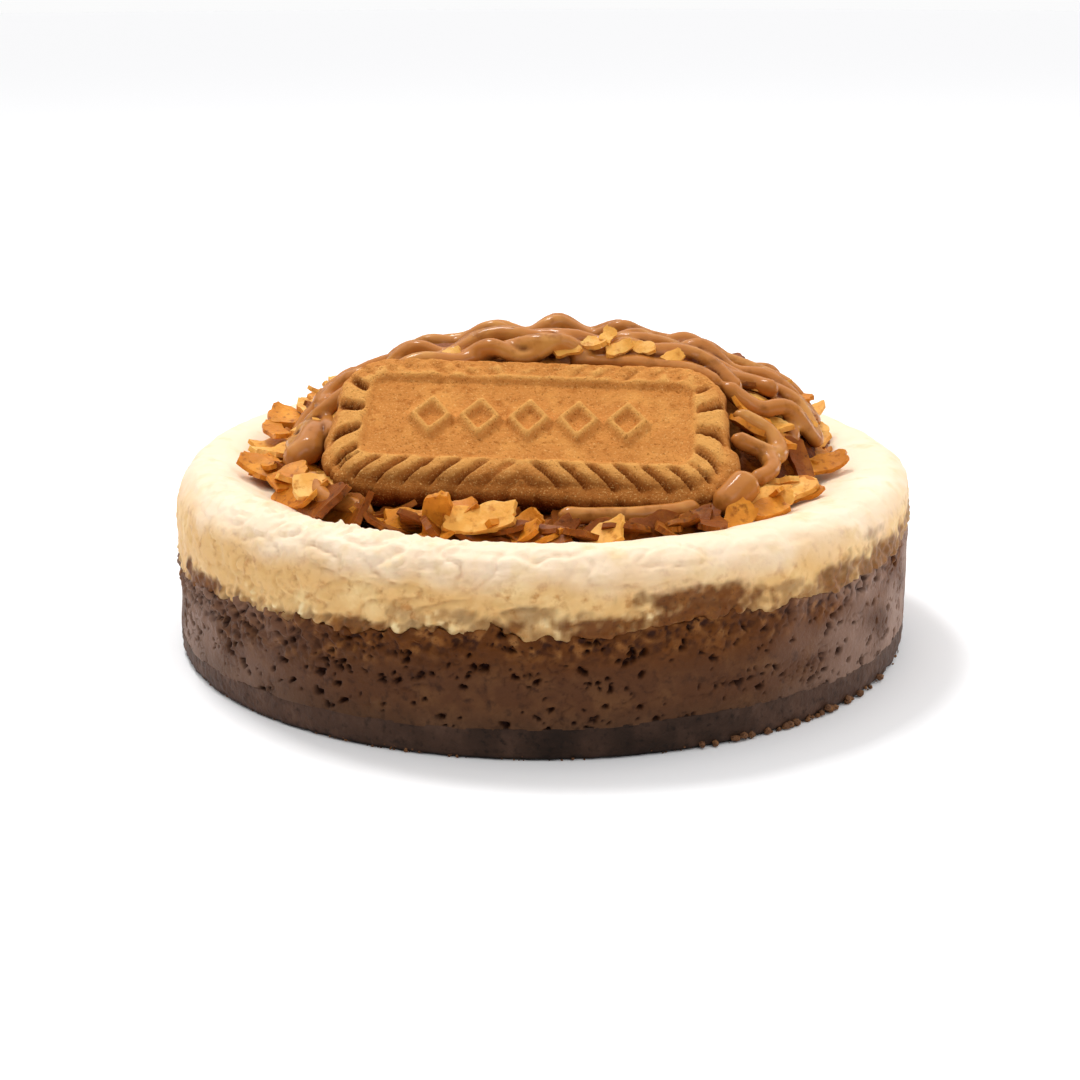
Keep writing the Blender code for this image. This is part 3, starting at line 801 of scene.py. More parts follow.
rng = random.Random(7)
crumb_shape = bmesh.new()
for _ in range(CRUMB_COUNT):
    angle = rng.uniform(-math.pi, math.pi)
    size = 0.10 + 0.24 * rng.random() ** 3
    draw = rng.random()
    if draw < LARGE_SHARE:
        angle = math.radians(rng.gauss(-46.0, 9.0))
        size = rng.uniform(0.35, 0.75)
    elif draw < LARGE_SHARE + LEFT_SHARE:
        angle = math.radians(rng.uniform(-155.0, -100.0))
    radius = CAKE_RADIUS - 0.25 + 0.3 * size
    height = size * 0.7 + 0.6 * rng.random() ** 2
    add_lump(crumb_shape, (radius * math.cos(angle), radius * math.sin(angle), height), size, rng)
make_piece("foot_crumbs", crumb_shape, crumb_material, smooth=False)

# %% [markdown]
# ## Where the biscuit lies
# The biscuit leans back on the heap. The heap's core, ropes and flakes have to stay out of
# it, so its pose comes first, with two tests: how high a thing may stand below its
# underside, and whether a point is in front of its face.

# %% The biscuit's pose
BISCUIT_LENGTH = 58.6
BISCUIT_WIDTH = 28.6
BISCUIT_THICKNESS = 6.6
BISCUIT_CORNER = 8.5
BISCUIT_EDGE = 2.6
BISCUIT_CLEARANCE = 0.3
CLEAR_BEFORE_FACE = 12.0
BISCUIT_FACE_CENTRE = Vector((-2.1, -17.9, 37.6))
BISCUIT_TILT = math.radians(28.4)
BISCUIT_YAW = math.radians(-2.2)
BISCUIT_ROLL = math.radians(-2.5)

biscuit_pose = (
    Matrix.Translation(BISCUIT_FACE_CENTRE)
    @ Matrix.Rotation(BISCUIT_YAW, 4, "Z")
    @ Matrix.Rotation(BISCUIT_TILT, 4, "X")
    @ Matrix.Rotation(BISCUIT_ROLL, 4, "Z")
)
to_biscuit = biscuit_pose.inverted()


def underside_height(x, y):
    """The height of the biscuit's underside above a plan point, or None clear of it."""
    up = biscuit_pose.to_3x3() @ Vector((0, 0, 1))
    corner = biscuit_pose @ Vector((0, 0, -BISCUIT_THICKNESS))
    height = corner.z - (up.x * (x - corner.x) + up.y * (y - corner.y)) / up.z
    local = to_biscuit @ Vector((x, y, height))
    beside = abs(local.x) < BISCUIT_LENGTH / 2 + 1.5
    inside = beside and -BISCUIT_WIDTH / 2 - 12.0 < local.y < BISCUIT_WIDTH / 2 + 0.5
    return height if inside else None


def in_biscuit(point):
    """Whether a point is in the biscuit or in front of its face."""
    local = to_biscuit @ Vector(point)
    return (
        abs(local.x) < BISCUIT_LENGTH / 2 + BISCUIT_CLEARANCE
        and abs(local.y) < BISCUIT_WIDTH / 2 + BISCUIT_CLEARANCE
        and -BISCUIT_THICKNESS - BISCUIT_CLEARANCE < local.z < CLEAR_BEFORE_FACE
    )


# %% [markdown]
# ## The core of the heap
# Between the flakes and the ropes the heap is a sticky mass of small flakes and spread,
# painted darker low down as painted shade in its gaps. It is turned like the cake and lifted to
# the dome that the solid has, then made lumpy, and it is pressed down wherever the biscuit lies
# on it.

# %% Dome and core
HEAP_RADIUS = 43.3
HEAP_CENTRE = (2.5, 5.0)
HEAP_REACH_SIDE = 42.0
HEAP_REACH_BACK = 37.5
HEAP_REACH_FRONT = 39.0
HEAP_PEAK_HEIGHT = 43.4
HEAP_ROUNDNESS = 0.56
HEAP_SKIRT = 1.0


def dome_height(x, y):
    """The smooth top of the heap below its ropes and flakes."""
    along = (x - HEAP_CENTRE[0]) / HEAP_REACH_SIDE
    depth = y - HEAP_CENTRE[1]
    across = depth / (HEAP_REACH_BACK if depth > 0 else HEAP_REACH_FRONT)
    fullness = max(1.0 - along * along - across * across, 0.0) ** HEAP_ROUNDNESS
    foot = DISH_HEIGHT + HEAP_SKIRT + 1.4 * smooth_step(33.0, 43.0, math.hypot(x, y))
    return foot + (HEAP_PEAK_HEIGHT - foot) * fullness


def foot_height(x, y):
    """The height of the cream just above the dish's own bowl, where the flakes stand."""
    return DISH_HEIGHT + 0.055 * max(math.hypot(x, y) - 30.0, 0.0) ** 1.3


core_material, tree, shader = new_material("sticky_core", 0.55, 0.05)
core_high = add_mottling(tree, 230.0, "a05c20", "c8873e", "5c2804")
core_low_shade = add_mottling(tree, 420.0, "5c2804", "8a480c", "2c1000")
# The lower part of the core is painted darker, as painted shade in the gaps of the heap.
base = add_mix(tree, add_range(tree, add_height(tree), 0.031, 0.038), core_low_shade, core_high)
add_finish(tree, shader, base, 700.0, 1.5, 0.45)

CORE_STEPS = 250
CORE_RINGS = 46
CORE_RADIUS = HEAP_RADIUS - 1.2
BLANK_TOP = 45.0

under = [(0.0, DISH_HEIGHT), (28.0, DISH_HEIGHT), (40.0, 25.0), (CORE_RADIUS, 25.4)]
flat_top = [(CORE_RADIUS - ring * 0.9, BLANK_TOP) for ring in range(CORE_RINGS)]
core_shape = turned(under + flat_top + [(0.0, BLANK_TOP)], CORE_STEPS)
# The flat top of this blank, which lies well above its underside, is lowered to the dome.
for vert in core_shape.verts:
    if vert.co.z < 30.0:
        continue
    x, y, _ = vert.co
    roughness = 1.1 * noise.noise(Vector((x, y, 3.0)) / 4.5)
    roughness += 0.6 * noise.noise(Vector((x, y, 8.0)) / 1.7)
    vert.co.z = dome_height(x, y) - 0.9 + roughness
    ceiling = underside_height(x, y)
    if ceiling is not None:
        vert.co.z = min(vert.co.z, max(ceiling - 0.5, foot_height(x, y) + 1.2 + roughness))
core = make_piece("heap_core", core_shape, core_material)
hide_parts("topping_heap")

# %% [markdown]
# ## Ropes of spread
# The spread was piped to and fro across the heap, first from back to front and then from side
# to side. The upper ropes ride over the lower ones and sag in between, and where they touch
# they melt into each other. Beside the biscuit it ran together in fatter folds. Each rope is
# a curve with a round bevel whose radius swells and thins. A voxel remesh then joins them all
# into one skin, and a few rounds of smoothing round the creases off the way surface tension
# does.

# %% Paths of the ropes
ROPE_RADIUS = 1.4
ROPE_STEP = 5.2
ROPE_STRAY = 3.5
ROPE_FIELD = 0.97
BARE_FRONT = -26.0
CROSS_ROPE_COUNT = 11
CROSS_ROPE_SAG = 0.7
CROSS_ROPE_RISE = 2.5
CROSSING_WIDTH = 3.4
LONG_ROPE_COUNT = 7
LONG_ROPE_LIFT = 0.5


def rope_stray(along, seed):
    """How far a hand-piped rope strays from its straight line, in millimetres."""
    return ROPE_STRAY * noise.noise(Vector((along * 0.09, seed * 3.7, 0.4)))


def on_heap(u, v):
    """The plan point of the heap for a point of the unit circle."""
    reach = HEAP_REACH_BACK if v > 0.0 else HEAP_REACH_FRONT
    return (
        HEAP_CENTRE[0] + ROPE_FIELD * HEAP_REACH_SIDE * u,
        HEAP_CENTRE[1] + ROPE_FIELD * reach * v,
    )


def even_rows(count):
    """Lines spread evenly over the unit circle, none of them right at its edge."""
    return [1.0 - 2.0 * (number + 0.6) / (count + 0.2) for number in range(count)]


def zigzag(rows):
    """A line piped to and fro over the unit circle, with a round turn at the end of each row."""
    pitch = rows[0] - rows[1]
    points = []
    for number, row in enumerate(rows):
        sign = 1 if number % 2 == 0 else -1
        reach = math.sqrt(1.0 - row * row) - pitch / 2
        steps = max(round(2 * reach * HEAP_REACH_SIDE / ROPE_STEP), 2)
        for step in range(steps + 1):
            along = -reach + 2 * reach * step / steps
            stray = rope_stray(along * HEAP_REACH_SIDE, number) / HEAP_REACH_SIDE
            points.append((sign * along, row + stray))
        if number + 1 < len(rows):
            middle = row - pitch / 2
            points.append((sign * math.sqrt(1.0 - middle * middle), middle))
    return points


def long_rope_columns():
    """Where the ropes that run from the back to the front cross the heap."""
    return [on_heap(u, 0.0)[0] for u in even_rows(LONG_ROPE_COUNT)]


def cross_rope_height(x, y):
    """A cross rope rides up over each long rope below it and sags between them."""
    nearest = min(abs(x - column) for column in long_rope_columns())
    rise = CROSS_ROPE_RISE * bell(nearest, CROSSING_WIDTH)
    return dome_height(x, y) + CROSS_ROPE_SAG + rise


def long_rope_height(x, y):
    return dome_height(x, y) + LONG_ROPE_LIFT


def under_biscuit(x, y):
    """Whether the biscuit or the bare ground in front of it takes the place of a rope here."""
    slab_centre_y = BISCUIT_FACE_CENTRE.y + BISCUIT_THICKNESS / 2 * math.sin(BISCUIT_TILT)
    plan = Matrix.Rotation(-BISCUIT_YAW, 2) @ Vector((x - BISCUIT_FACE_CENTRE.x, y - slab_centre_y))
    overhang = 2.0
    inside = (
        abs(plan.x) < BISCUIT_LENGTH / 2 - overhang
        and abs(plan.y) < BISCUIT_WIDTH / 2 - overhang
    )
    return inside or (y < BARE_FRONT and abs(x) < BISCUIT_LENGTH / 2)


def open_stretches(line):
    """The stretches of a line that no biscuit covers, each long enough to make a rope."""
    stretches = [[]]
    for x, y in line:
        if under_biscuit(x, y):
            stretches.append([])
        else:
            stretches[-1].append((x, y))
    return [stretch for stretch in stretches if len(stretch) > 2]


# %% Ropes that the even rows leave out
# Two lines in plan, close behind the biscuit's upper edge.
BEHIND_BISCUIT = (
    [(-27, -7), (-20, -4), (-13, -3.4), (-6, -2.0), (1, -3.2),
     (8, -1.6), (16, -3.0), (24, -2.0), (30, -6)],
    [(-30, 0), (-24, 2.6), (-16, 0.6), (-8, 2.4), (0, 1.0),
     (7, 3.0), (15, 0.8), (22, 3.4), (30, 1), (36, -3)],
)
# Spread smeared along the biscuit's upper edge, given in the biscuit's own plane.
SMEARED_ON_BISCUIT = (
    [(5, 15.4, -2.2), (11, 15.0, -1.6), (18, 14.8, -1.8), (24, 14.0, -2.0), (28, 12.0, -2.6)],
    [(11, 16.4, -2.6), (17, 16.2, -2.2), (22, 15.6, -2.6), (27, 14.2, -3.4)],
)
# Loose ends that come out from under the biscuit at its lower edge and corners.
LOOSE_ENDS = (
    [(29.5, -27.0, 30.6), (33.0, -23.6, 31.4), (32.5, -19.0, 32.6)],
    [(2, -34.6, 27.8), (9, -35.2, 27.8), (16, -34.4, 27.9), (22, -32.0, 28.2)],
    [(-24.0, -33.0, 27.4), (-27.0, -31.0, 28.0), (-31.5, -27.0, 28.4), (-34.0, -21.0, 30.0)],
)
# Fat folds where much spread ran together: the drop at the lower right corner of the biscuit,
# and the folds beside its left and right ends. Each is how much fatter it is, and its path.
FAT_FOLDS = (
    (1.75, [(24.2, -32.6, 27.8), (27.0, -31.0, 29.6), (29.6, -28.4, 31.6)]),
    (1.45, [(-38.6, -13.0, 29.4), (-35.4, -11.0, 31.6), (-35.0, -6.0, 32.6), (-37.6, -3.0, 31.4)]),
    (1.35, [(-33.6, -13.0, 31.6), (-37.0, -8.6, 31.0), (-38.4, -4.0, 30.6)]),
    (1.35, [(-33.0, 1.0, 35.0), (-34.6, 6.0, 34.8), (-31.4, 9.6, 36.6)]),
    (1.40, [(31.4, -14.0, 32.4), (35.4, -11.6, 32.2), (38.6, -9.0, 30.8)]),
    (1.30, [(33.0, -2.0, 35.4), (37.4, 2.0, 34.6), (40.0, 7.6, 32.8)]),
    (1.30, [(30.6, -6.0, 35.8), (35.6, -4.0, 34.8), (39.6, -1.0, 32.2)]),
)


# %% All ropes, each with how fat it is
cross = [on_heap(u, v) for u, v in zigzag(even_rows(CROSS_ROPE_COUNT))]
long = [on_heap(u, v) for v, u in zigzag(even_rows(LONG_ROPE_COUNT))]
even_ropes = [
    [Vector((x, y, height_at(x, y))) for x, y in stretch]
    for line, height_at in ((cross, cross_rope_height), (long, long_rope_height))
    for stretch in open_stretches(line)
]
even_ropes += [[(x, y, cross_rope_height(x, y) + 0.2) for x, y in line] for line in BEHIND_BISCUIT]
even_ropes += [[biscuit_pose @ Vector(point) for point in line] for line in SMEARED_ON_BISCUIT]
ropes = [(1.0, path) for path in (*even_ropes, *LOOSE_ENDS)] + list(FAT_FOLDS)
print(len(ropes), "ropes")


# %% [markdown]
# ## The spread's finish
# Caramel spread is glossy on top and painted a deep brown, as painted shade, where the ropes
# are close together. The mesh stores how low a point lies in the heap and how deep it is in a
# crease. Both darken the colour as painted shade, and a crease also loses its gloss, because
# little light gets in.

# %% Spread material
GLOSS = 0.34
GLOSS_LOST_IN_CREASES = 0.30

spread_material, tree, shader = new_material(
    "caramel_spread", 0.24, 0.04, subsurface=0.04, light_reach=0.0010
)
shader.inputs["Coat Roughness"].default_value = 0.16
low_shade_tone, crease_shade_tone, _ = add_tones(tree)
spread_colour = add_mottling(tree, 110.0, "b87434", "cc9048", "985c20")
base = add_layers(tree, spread_colour, (low_shade_tone, "6c3404"), (crease_shade_tone, "582200"))
lost = add_math(tree, "MULTIPLY", crease_shade_tone, GLOSS_LOST_IN_CREASES)
tree.links.new(add_math(tree, "SUBTRACT", GLOSS, lost), shader.inputs["Coat Weight"])
add_finish(tree, shader, base, 420.0, 1.0, 0.05, 0.5)


# %% One rope
ROPE_SPACING = 0.8


def rope_mesh(points, fat, number):
    """One rope as a mesh: a smooth curve with a round bevel of varying radius."""
    curve = bpy.data.curves.new("rope", "CURVE")
    curve.dimensions = "3D"
    curve.bevel_depth = fat * ROPE_RADIUS * MM
    curve.bevel_resolution = 3
    curve.use_fill_caps = True
    path = smooth_path(points, ROPE_SPACING)
    spline = curve.splines.new("POLY")
    spline.points.add(len(path) - 1)
    for step, (target, point) in enumerate(zip(spline.points, path)):
        target.co = (*(point * MM), 1.0)
        from_end = min(step, len(path) - 1 - step) * ROPE_SPACING
        swell = 1.0 + 0.30 * noise.noise(Vector((step * 0.13, number * 5.1, 2.0)))
        target.radius = swell * (0.35 + 0.65 * smooth_step(0.0, 1.8, from_end))
    guide = add_object("rope", curve)
    graph = bpy.context.evaluated_depsgraph_get()
    mesh = bpy.data.meshes.new_from_object(guide.evaluated_get(graph))
    bpy.data.objects.remove(guide)
    return mesh


# %% Melt the ropes together
def melted(shape, voxel, rounds):
    """A bmesh in millimetres made one skin by a voxel remesh and then smoothed."""
    block = add_object("melting", mesh_from(shape, "melting"))
    remesh = block.modifiers.new("melt", "REMESH")
    remesh.mode = "VOXEL"
    remesh.voxel_size = voxel
    relax = block.modifiers.new("relax", "SMOOTH")
    relax.factor = 0.5
    relax.iterations = rounds
    graph = bpy.context.evaluated_depsgraph_get()
    result = bmesh.new()
    result.from_object(block, graph)
    bpy.data.objects.remove(block)
    return result


def creases(shape, rounds):
    """Pairs of a vertex and how hollow the skin is there, evened out over a few rounds."""
    shape.normal_update()
    shape.verts.ensure_lookup_table()
    around = [[edge.other_vert(vert).index for edge in vert.link_edges] for vert in shape.verts]
    hollow = []
    for vert, others in zip(shape.verts, around):
        middle = sum((shape.verts[other].co for other in others), Vector()) / len(others)
        hollow.append((middle - vert.co).dot(vert.normal))
    for _ in range(rounds):
        hollow = [sum(hollow[other] for other in others) / len(others) for others in around]
    return zip(shape.verts, hollow)


ROPE_VOXEL = 0.42
ROPE_JOINING_DISTANCE = 0.0000005

ropes_shape = bmesh.new()
for number, (fat, points) in enumerate(ropes):
    ropes_shape.from_mesh(rope_mesh(points, fat, number))
bmesh.ops.remove_doubles(ropes_shape, verts=ropes_shape.verts, dist=ROPE_JOINING_DISTANCE)
bmesh.ops.scale(ropes_shape, vec=(1 / MM, 1 / MM, 1 / MM), verts=ropes_shape.verts)
ropes_shape = melted(ropes_shape, ROPE_VOXEL, 4)
tones = ropes_shape.verts.layers.float_color.new("tones")
# Painted shade: low points and creases between the ropes get darker tones.
for vert, crease in creases(ropes_shape, 5):
    depth = dome_height(vert.co.x, vert.co.y) + 0.6 - vert.co.z
    vert[tones] = (smooth_step(-1.6, 1.0, depth), smooth_step(-0.002, 0.018, crease), 0.0, 1.0)
make_piece("spread_ropes", ropes_shape, spread_material)

# %% [markdown]
# ## Toasted flakes
# The flakes are thin shavings of nut or coconut, most of them 5 to 10 mm long and under a
# millimetre thick, curved, and torn along their edges. One function cuts a shaving from a
# grid, bends it and gives it thickness. There are three kinds: pale gold, deep gold and brown.

# %% One shaving
def add_shaving(shape, length, width, curl, pose, rng):
    """A torn, slightly curved shaving with blunt ends, placed by the pose matrix."""
    flake = bmesh.new()
    bmesh.ops.create_grid(flake, x_segments=13, y_segments=6, size=0.5)
    seed = rng.uniform(0.0, 100.0)
    bend_radius = length / curl
    twist, slant = rng.uniform(-0.22, 0.22), rng.uniform(-0.45, 0.45)
    for vert in flake.verts:
        along, side = vert.co.x * 2.0, vert.co.y * 2.0
        torn = 0.42 * noise.noise(Vector((along * 1.5, side, seed)))
        torn += 0.08 * noise.noise(Vector((along * 4.0, side, seed + 9.0)))
        reach = (1.0 - 0.22 * along**4 + torn) * width / 2
        ragged_end = 0.16 * noise.noise(Vector((side * 1.8, along, seed + 4.0)))
        x = along * length / 2 * (1.0 + ragged_end) + side * slant * width / 2
        y = side * reach
        dip = 0.22 * noise.noise(Vector((x / 3.2, y / 2.6, seed)))
        turn = twist * along
        across, up = y, dip
        y = across * math.cos(turn) - up * math.sin(turn)
        dip = up * math.cos(turn) + across * math.sin(turn)
        angle = x / bend_radius
        vert.co = Vector((
            (bend_radius - dip) * math.sin(angle), y,
            bend_radius - (bend_radius - dip) * math.cos(angle),
        ))
    bmesh.ops.recalc_face_normals(flake, faces=flake.faces)
    bmesh.ops.solidify(flake, geom=flake.faces[:], thickness=rng.uniform(0.6, 0.95))
    longest_reach = 0.7 * length
    for vert in flake.verts:
        if vert.co.length > longest_reach:
            vert.co *= longest_reach / vert.co.length
    bmesh.ops.transform(flake, matrix=pose, verts=flake.verts)
    mesh = mesh_from(flake, "shaving")
    shape.from_mesh(mesh)
    bpy.data.meshes.remove(mesh)


def flake_pose(x, y, z, heading, pitch, roll):
    return (
        Matrix.Translation((x, y, z))
        @ Matrix.Rotation(math.radians(heading), 4, "Z")
        @ Matrix.Rotation(-math.radians(pitch), 4, "Y")
        @ Matrix.Rotation(math.radians(roll), 4, "X")
    )


# %% Where the large flakes lie
# Each is (x, y, height above the foot, length, width, heading, pitch, roll, kind) of a flake
# that stands out: the upright and flat ones in front of the biscuit, and the strays.
# The brown ones just in front of the biscuit stand partly for painted shade under it.
STANDING_FLAKES = (
    (-14.8, -38.8, 2.9, 8.0, 3.8, 6, 84, 82, "gold"),
    (-8.8, -38.8, 2.7, 10.4, 4.4, 3, 3, 38, "pale"),
    (-11.8, -37.2, 3.6, 6.0, 3.0, 8, 14, 20, "gold"),
    (-2.2, -38.4, 2.4, 4.6, 3.4, 10, 30, 44, "gold"),
    (-3.6, -40.2, 0.8, 8.0, 3.4, -28, 22, 30, "gold"),
    (1.4, -40.2, 0.9, 8.0, 3.2, 34, 22, 30, "brown"),
    (9.4, -39.6, 1.0, 7.0, 4.0, -12, -10, 52, "brown"),
    (15.0, -38.2, 1.1, 7.2, 4.4, 12, 6, 56, "brown"),
    (20.4, -36.0, 0.8, 7.0, 3.6, 26, 10, 30, "brown"),
    (26.8, -34.6, 1.0, 6.4, 3.6, 40, 34, 40, "gold"),
    (31.4, -29.6, 1.8, 8.6, 4.2, 22, 10, 42, "pale"),
    (31.0, -31.6, 1.0, 7.4, 3.6, 30, 2, 20, "gold"),
    (35.6, -23.2, 1.6, 8.8, 3.6, 34, 6, 16, "pale"),
    (38.4, -14.0, 3.4, 9.4, 3.2, 115, 48, 8, "brown"),
    (42.6, -9.2, 2.0, 7.6, 3.2, 18, 12, 30, "gold"),
    (-30.6, -29.0, 1.9, 10.6, 7.0, -62, 10, 44, "brown"),
    (-26.4, -32.6, 1.5, 9.6, 6.4, -56, 14, 46, "brown"),
    (-35.4, -23.6, 1.8, 10.4, 5.4, -40, 18, 36, "gold"),
    (-31.6, -25.0, 3.6, 8.6, 4.6, 8, 6, 26, "pale"),
    (-42.4, -10.6, 2.0, 8.2, 3.4, -22, -14, 24, "gold"),
    (-37.4, -18.0, 3.0, 6.6, 3.8, 40, 20, 20, "gold"),
)
KINDS = ("pale", "gold", "brown")
flake_shapes = {kind: bmesh.new() for kind in KINDS}
rng = random.Random(2)
for x, y, lift, length, width, heading, pitch, roll, kind in STANDING_FLAKES:
    pose = flake_pose(x, y, foot_height(x, y) + lift, heading, pitch, roll)
    add_shaving(flake_shapes[kind], length, width, rng.uniform(0.5, 0.9), pose, rng)


# %% [markdown]
# ## Scattered flakes
# The rest is scattered with a fixed seed, first round the foot of the heap and then over its
# flanks between the ropes. Golden-angle steps spread the flank flakes evenly. In front of the
# biscuit they lie low and are mostly brown, which stands partly for painted shade under the
# biscuit, at the left and right they lie flat, and at the back some lean on the heap's steep
# foot.

# %% Scatter the smaller flakes
FOOT_COUNT = 190
FLANK_COUNT = 150
GOLDEN_SHARE = 0.618034
KIND_SHARES = (0.34, 0.42, 0.24)
SHADED_FRONT_KIND_SHARES = (0.04, 0.22, 0.74)


def in_front_strip(x, y):
    """Whether a plan point lies in front of the biscuit's lower edge."""
    return y < -28.0 and abs(x) < 30.0


def try_flake(x, y, z, length, width, heading, pitch, roll, rng):
    """Adds a flake unless the biscuit is in its way, and gives how many were made."""
    pose = flake_pose(x, y, z, heading, pitch, roll)
    tips = [pose @ Vector((reach * length / 2, 0, 0.6)) for reach in (-0.9, 0.0, 0.9)]
    if any(in_biscuit(tip) for tip in tips):
        return 0
    kind = rng.choices(KINDS, SHADED_FRONT_KIND_SHARES if in_front_strip(x, y) else KIND_SHARES)[0]
    add_shaving(flake_shapes[kind], length, width, rng.uniform(0.35, 1.0), pose, rng)
    return 1


made = 0
rng = random.Random(31)
for step in range(FOOT_COUNT):
    angle = math.tau * (step + 2.5 * rng.random()) / FOOT_COUNT
    on_back_face = math.sin(angle) > 0.1 and rng.random() < 0.6
    tip_over = 1.0 - 0.65 * smooth_step(0.7, 0.95, abs(math.cos(angle)))
    reach = rng.uniform(41.2, 43.6) if on_back_face else rng.uniform(33.0, 42.6)
    x, y = reach * math.cos(angle), reach * math.sin(angle)
    lift = rng.uniform(0.2, 1.0) if in_front_strip(x, y) else rng.uniform(0.8, 3.0)
    height = foot_height(x, y) + lift
    if on_back_face:
        height = foot_height(x, y) + rng.uniform(0.8, 5.0)
    elif y > 12.0:
        height = max(height, dome_height(x, y) + rng.uniform(-0.6, 0.4))
    made += try_flake(
        x, y, height, rng.uniform(5.5, 10.5),
        rng.uniform(3.0, 5.8), math.degrees(angle) + rng.uniform(-90, 90),
        tip_over * rng.uniform(-22, 34), tip_over * rng.uniform(-34, 34), rng,
    )
for step in range(FLANK_COUNT):
    angle = math.tau * step * GOLDEN_SHARE
    share = 0.35 + 0.60 * math.sqrt((step + 0.5) / FLANK_COUNT)
    x, y = on_heap(share * math.cos(angle), share * math.sin(angle))
    made += try_flake(
        x, y, dome_height(x, y) + rng.uniform(-0.2, 0.7), rng.uniform(4.5, 9.0),
        rng.uniform(2.4, 4.4), math.degrees(angle) + rng.uniform(-40, 40),
        -rng.uniform(8, 44) * share, rng.uniform(-26, 26), rng,
    )
print(made, "scattered flakes")

# Small chips caught in the spread behind the biscuit's upper edge, each (x, y, z, length,
# heading) in the biscuit's own plane.
CHIPS = (
    (4.6, 16.4, -0.6, 4.2, 12), (8.6, 17.2, 0.0, 3.6, -30), (12.4, 16.6, -0.3, 4.4, 24),
    (10.4, 18.6, 0.4, 3.4, 70), (16.2, 17.4, -0.6, 3.8, -12), (20.6, 16.2, -1.2, 3.4, 30),
    (-13.0, 15.8, -1.7, 2.8, 15), (-1.2, 15.6, -1.5, 3.0, -25),
)
CHIP_WIDTH = 2.1
for x, y, z, length, heading in CHIPS:
    pose = biscuit_pose @ flake_pose(x, y, z, heading, 8, 14)
    add_shaving(flake_shapes["pale"], length, CHIP_WIDTH, 0.5, pose, rng)

# %% Flake materials and meshes
# The brown kind is browned flake, and in front of the biscuit it also stands for painted shade.
FLAKE_COLOURS = {
    "pale": ("e8a64a", "f8c874", "c47a28"),
    "gold": ("ca7c20", "e69a36", "90490a"),
    "brown": ("84430c", "a4601a", "502600"),
}
SHARPEST_SMOOTH_ANGLE = 38.0
for kind, shape in flake_shapes.items():
    flake_material, tree, shader = new_material(
        kind + "_flake", 0.45, 0.15, subsurface=0.12, light_reach=0.0012
    )
    base = add_mottling(tree, 240.0, *FLAKE_COLOURS[kind])
    add_finish(tree, shader, base, 1500.0, 0.8, 0.12)
    flakes = make_piece(kind + "_flakes", shape, flake_material)
    flakes.data.set_sharp_from_angle(angle=math.radians(SHARPEST_SMOOTH_ANGLE))

# %% [markdown]
# ## The biscuit
# It is a pressed biscuit: a slab with rounded edges, a sunken panel with a thin lip, slanting
# flutes that fan outwards from the panel, and five raised lozenges. A block with bevelled
# corners and edges gives the slab, a voxel remesh gives it an even fine mesh, and then each
# point moves by a height that is worked out in the biscuit's own plane. That keeps panel,
# flutes and lozenges in one skin, with soft edges, as in a biscuit that rose in the oven.

# %% Slab of the biscuit
PANEL_LENGTH = 47.4
PANEL_WIDTH = 17.0
PANEL_DEPTH = 0.5
PANEL_CORNER = 2.4
FLUTE_PITCH = 3.9
LOZENGE_COUNT = 5
LOZENGE_PITCH = 7.2
LOZENGE_LENGTH = 6.6
LOZENGE_WIDTH = 9.0
BISCUIT_VOXEL = 0.36


def corner_distance(x, y, length, width, corner):
    """Signed distance to the edge of a rectangle with round corners, negative inside."""
    over_x = abs(x) - (length / 2 - corner)
    over_y = abs(y) - (width / 2 - corner)
    outside = math.hypot(max(over_x, 0.0), max(over_y, 0.0))
    return outside + min(max(over_x, over_y), 0.0) - corner


def round_off(shape, edges, offset, segments):
    bmesh.ops.bevel(
        shape, geom=edges, offset=offset, offset_type="OFFSET", segments=segments,
        profile=0.5, affect="EDGES", material=-1,
    )


slab = bmesh.new()
bmesh.ops.create_cube(slab, size=1.0)
bmesh.ops.scale(
    slab, vec=(BISCUIT_LENGTH, BISCUIT_WIDTH, BISCUIT_THICKNESS), verts=slab.verts
)
bmesh.ops.translate(slab, vec=(0, 0, -BISCUIT_THICKNESS / 2), verts=slab.verts)
upright = [e for e in slab.edges if abs((e.verts[0].co - e.verts[1].co).z) > 1.0]
round_off(slab, upright, BISCUIT_CORNER, 10)
flat = [f for f in slab.faces if abs(f.normal.z) > 0.9]
rims = list({edge for face in flat for edge in face.edges})
round_off(slab, rims, BISCUIT_EDGE, 6)
biscuit_shape = melted(slab, BISCUIT_VOXEL, 2)


# %% Flutes, panel and lozenges
def flute_phase(x, y):
    """Counts flutes along the rim. They lean outwards from the middle of each long side."""
    panel_x = min(max(x, -PANEL_LENGTH / 2), PANEL_LENGTH / 2)
    panel_y = min(max(y, -PANEL_WIDTH / 2), PANEL_WIDTH / 2)
    out_x, out_y = x - panel_x, y - panel_y
    if abs(out_y) * 1.4 >= abs(out_x) and abs(y) > PANEL_WIDTH / 2:
        lean = 0.95 * math.copysign(1.0, x) * abs(out_y)
        return (x - lean) / FLUTE_PITCH
    lean = 0.9 * y / (PANEL_WIDTH / 2) * abs(out_x)
    return (y - lean) / FLUTE_PITCH + 0.5


def flute_groove(x, y):
    """1 along the bottom of each groove and 0 on the broad ridges, steeper on one side."""
    share = flute_phase(x, y) % 1.0
    if x < 0.0:
        share = 1.0 - share
    return smooth_step(0.0, 0.12, share) * smooth_step(0.52, 0.14, share)


def lozenge_height(x, y):
    """A raised lozenge outline, rounded in section."""
    last = (LOZENGE_COUNT - 1) // 2
    nearest = min(max(round(x / LOZENGE_PITCH), -last), last) * LOZENGE_PITCH
    edge = abs(x - nearest) / (LOZENGE_LENGTH / 2) + abs(y) / (LOZENGE_WIDTH / 2)
    return bell(edge - 0.78, 0.24)


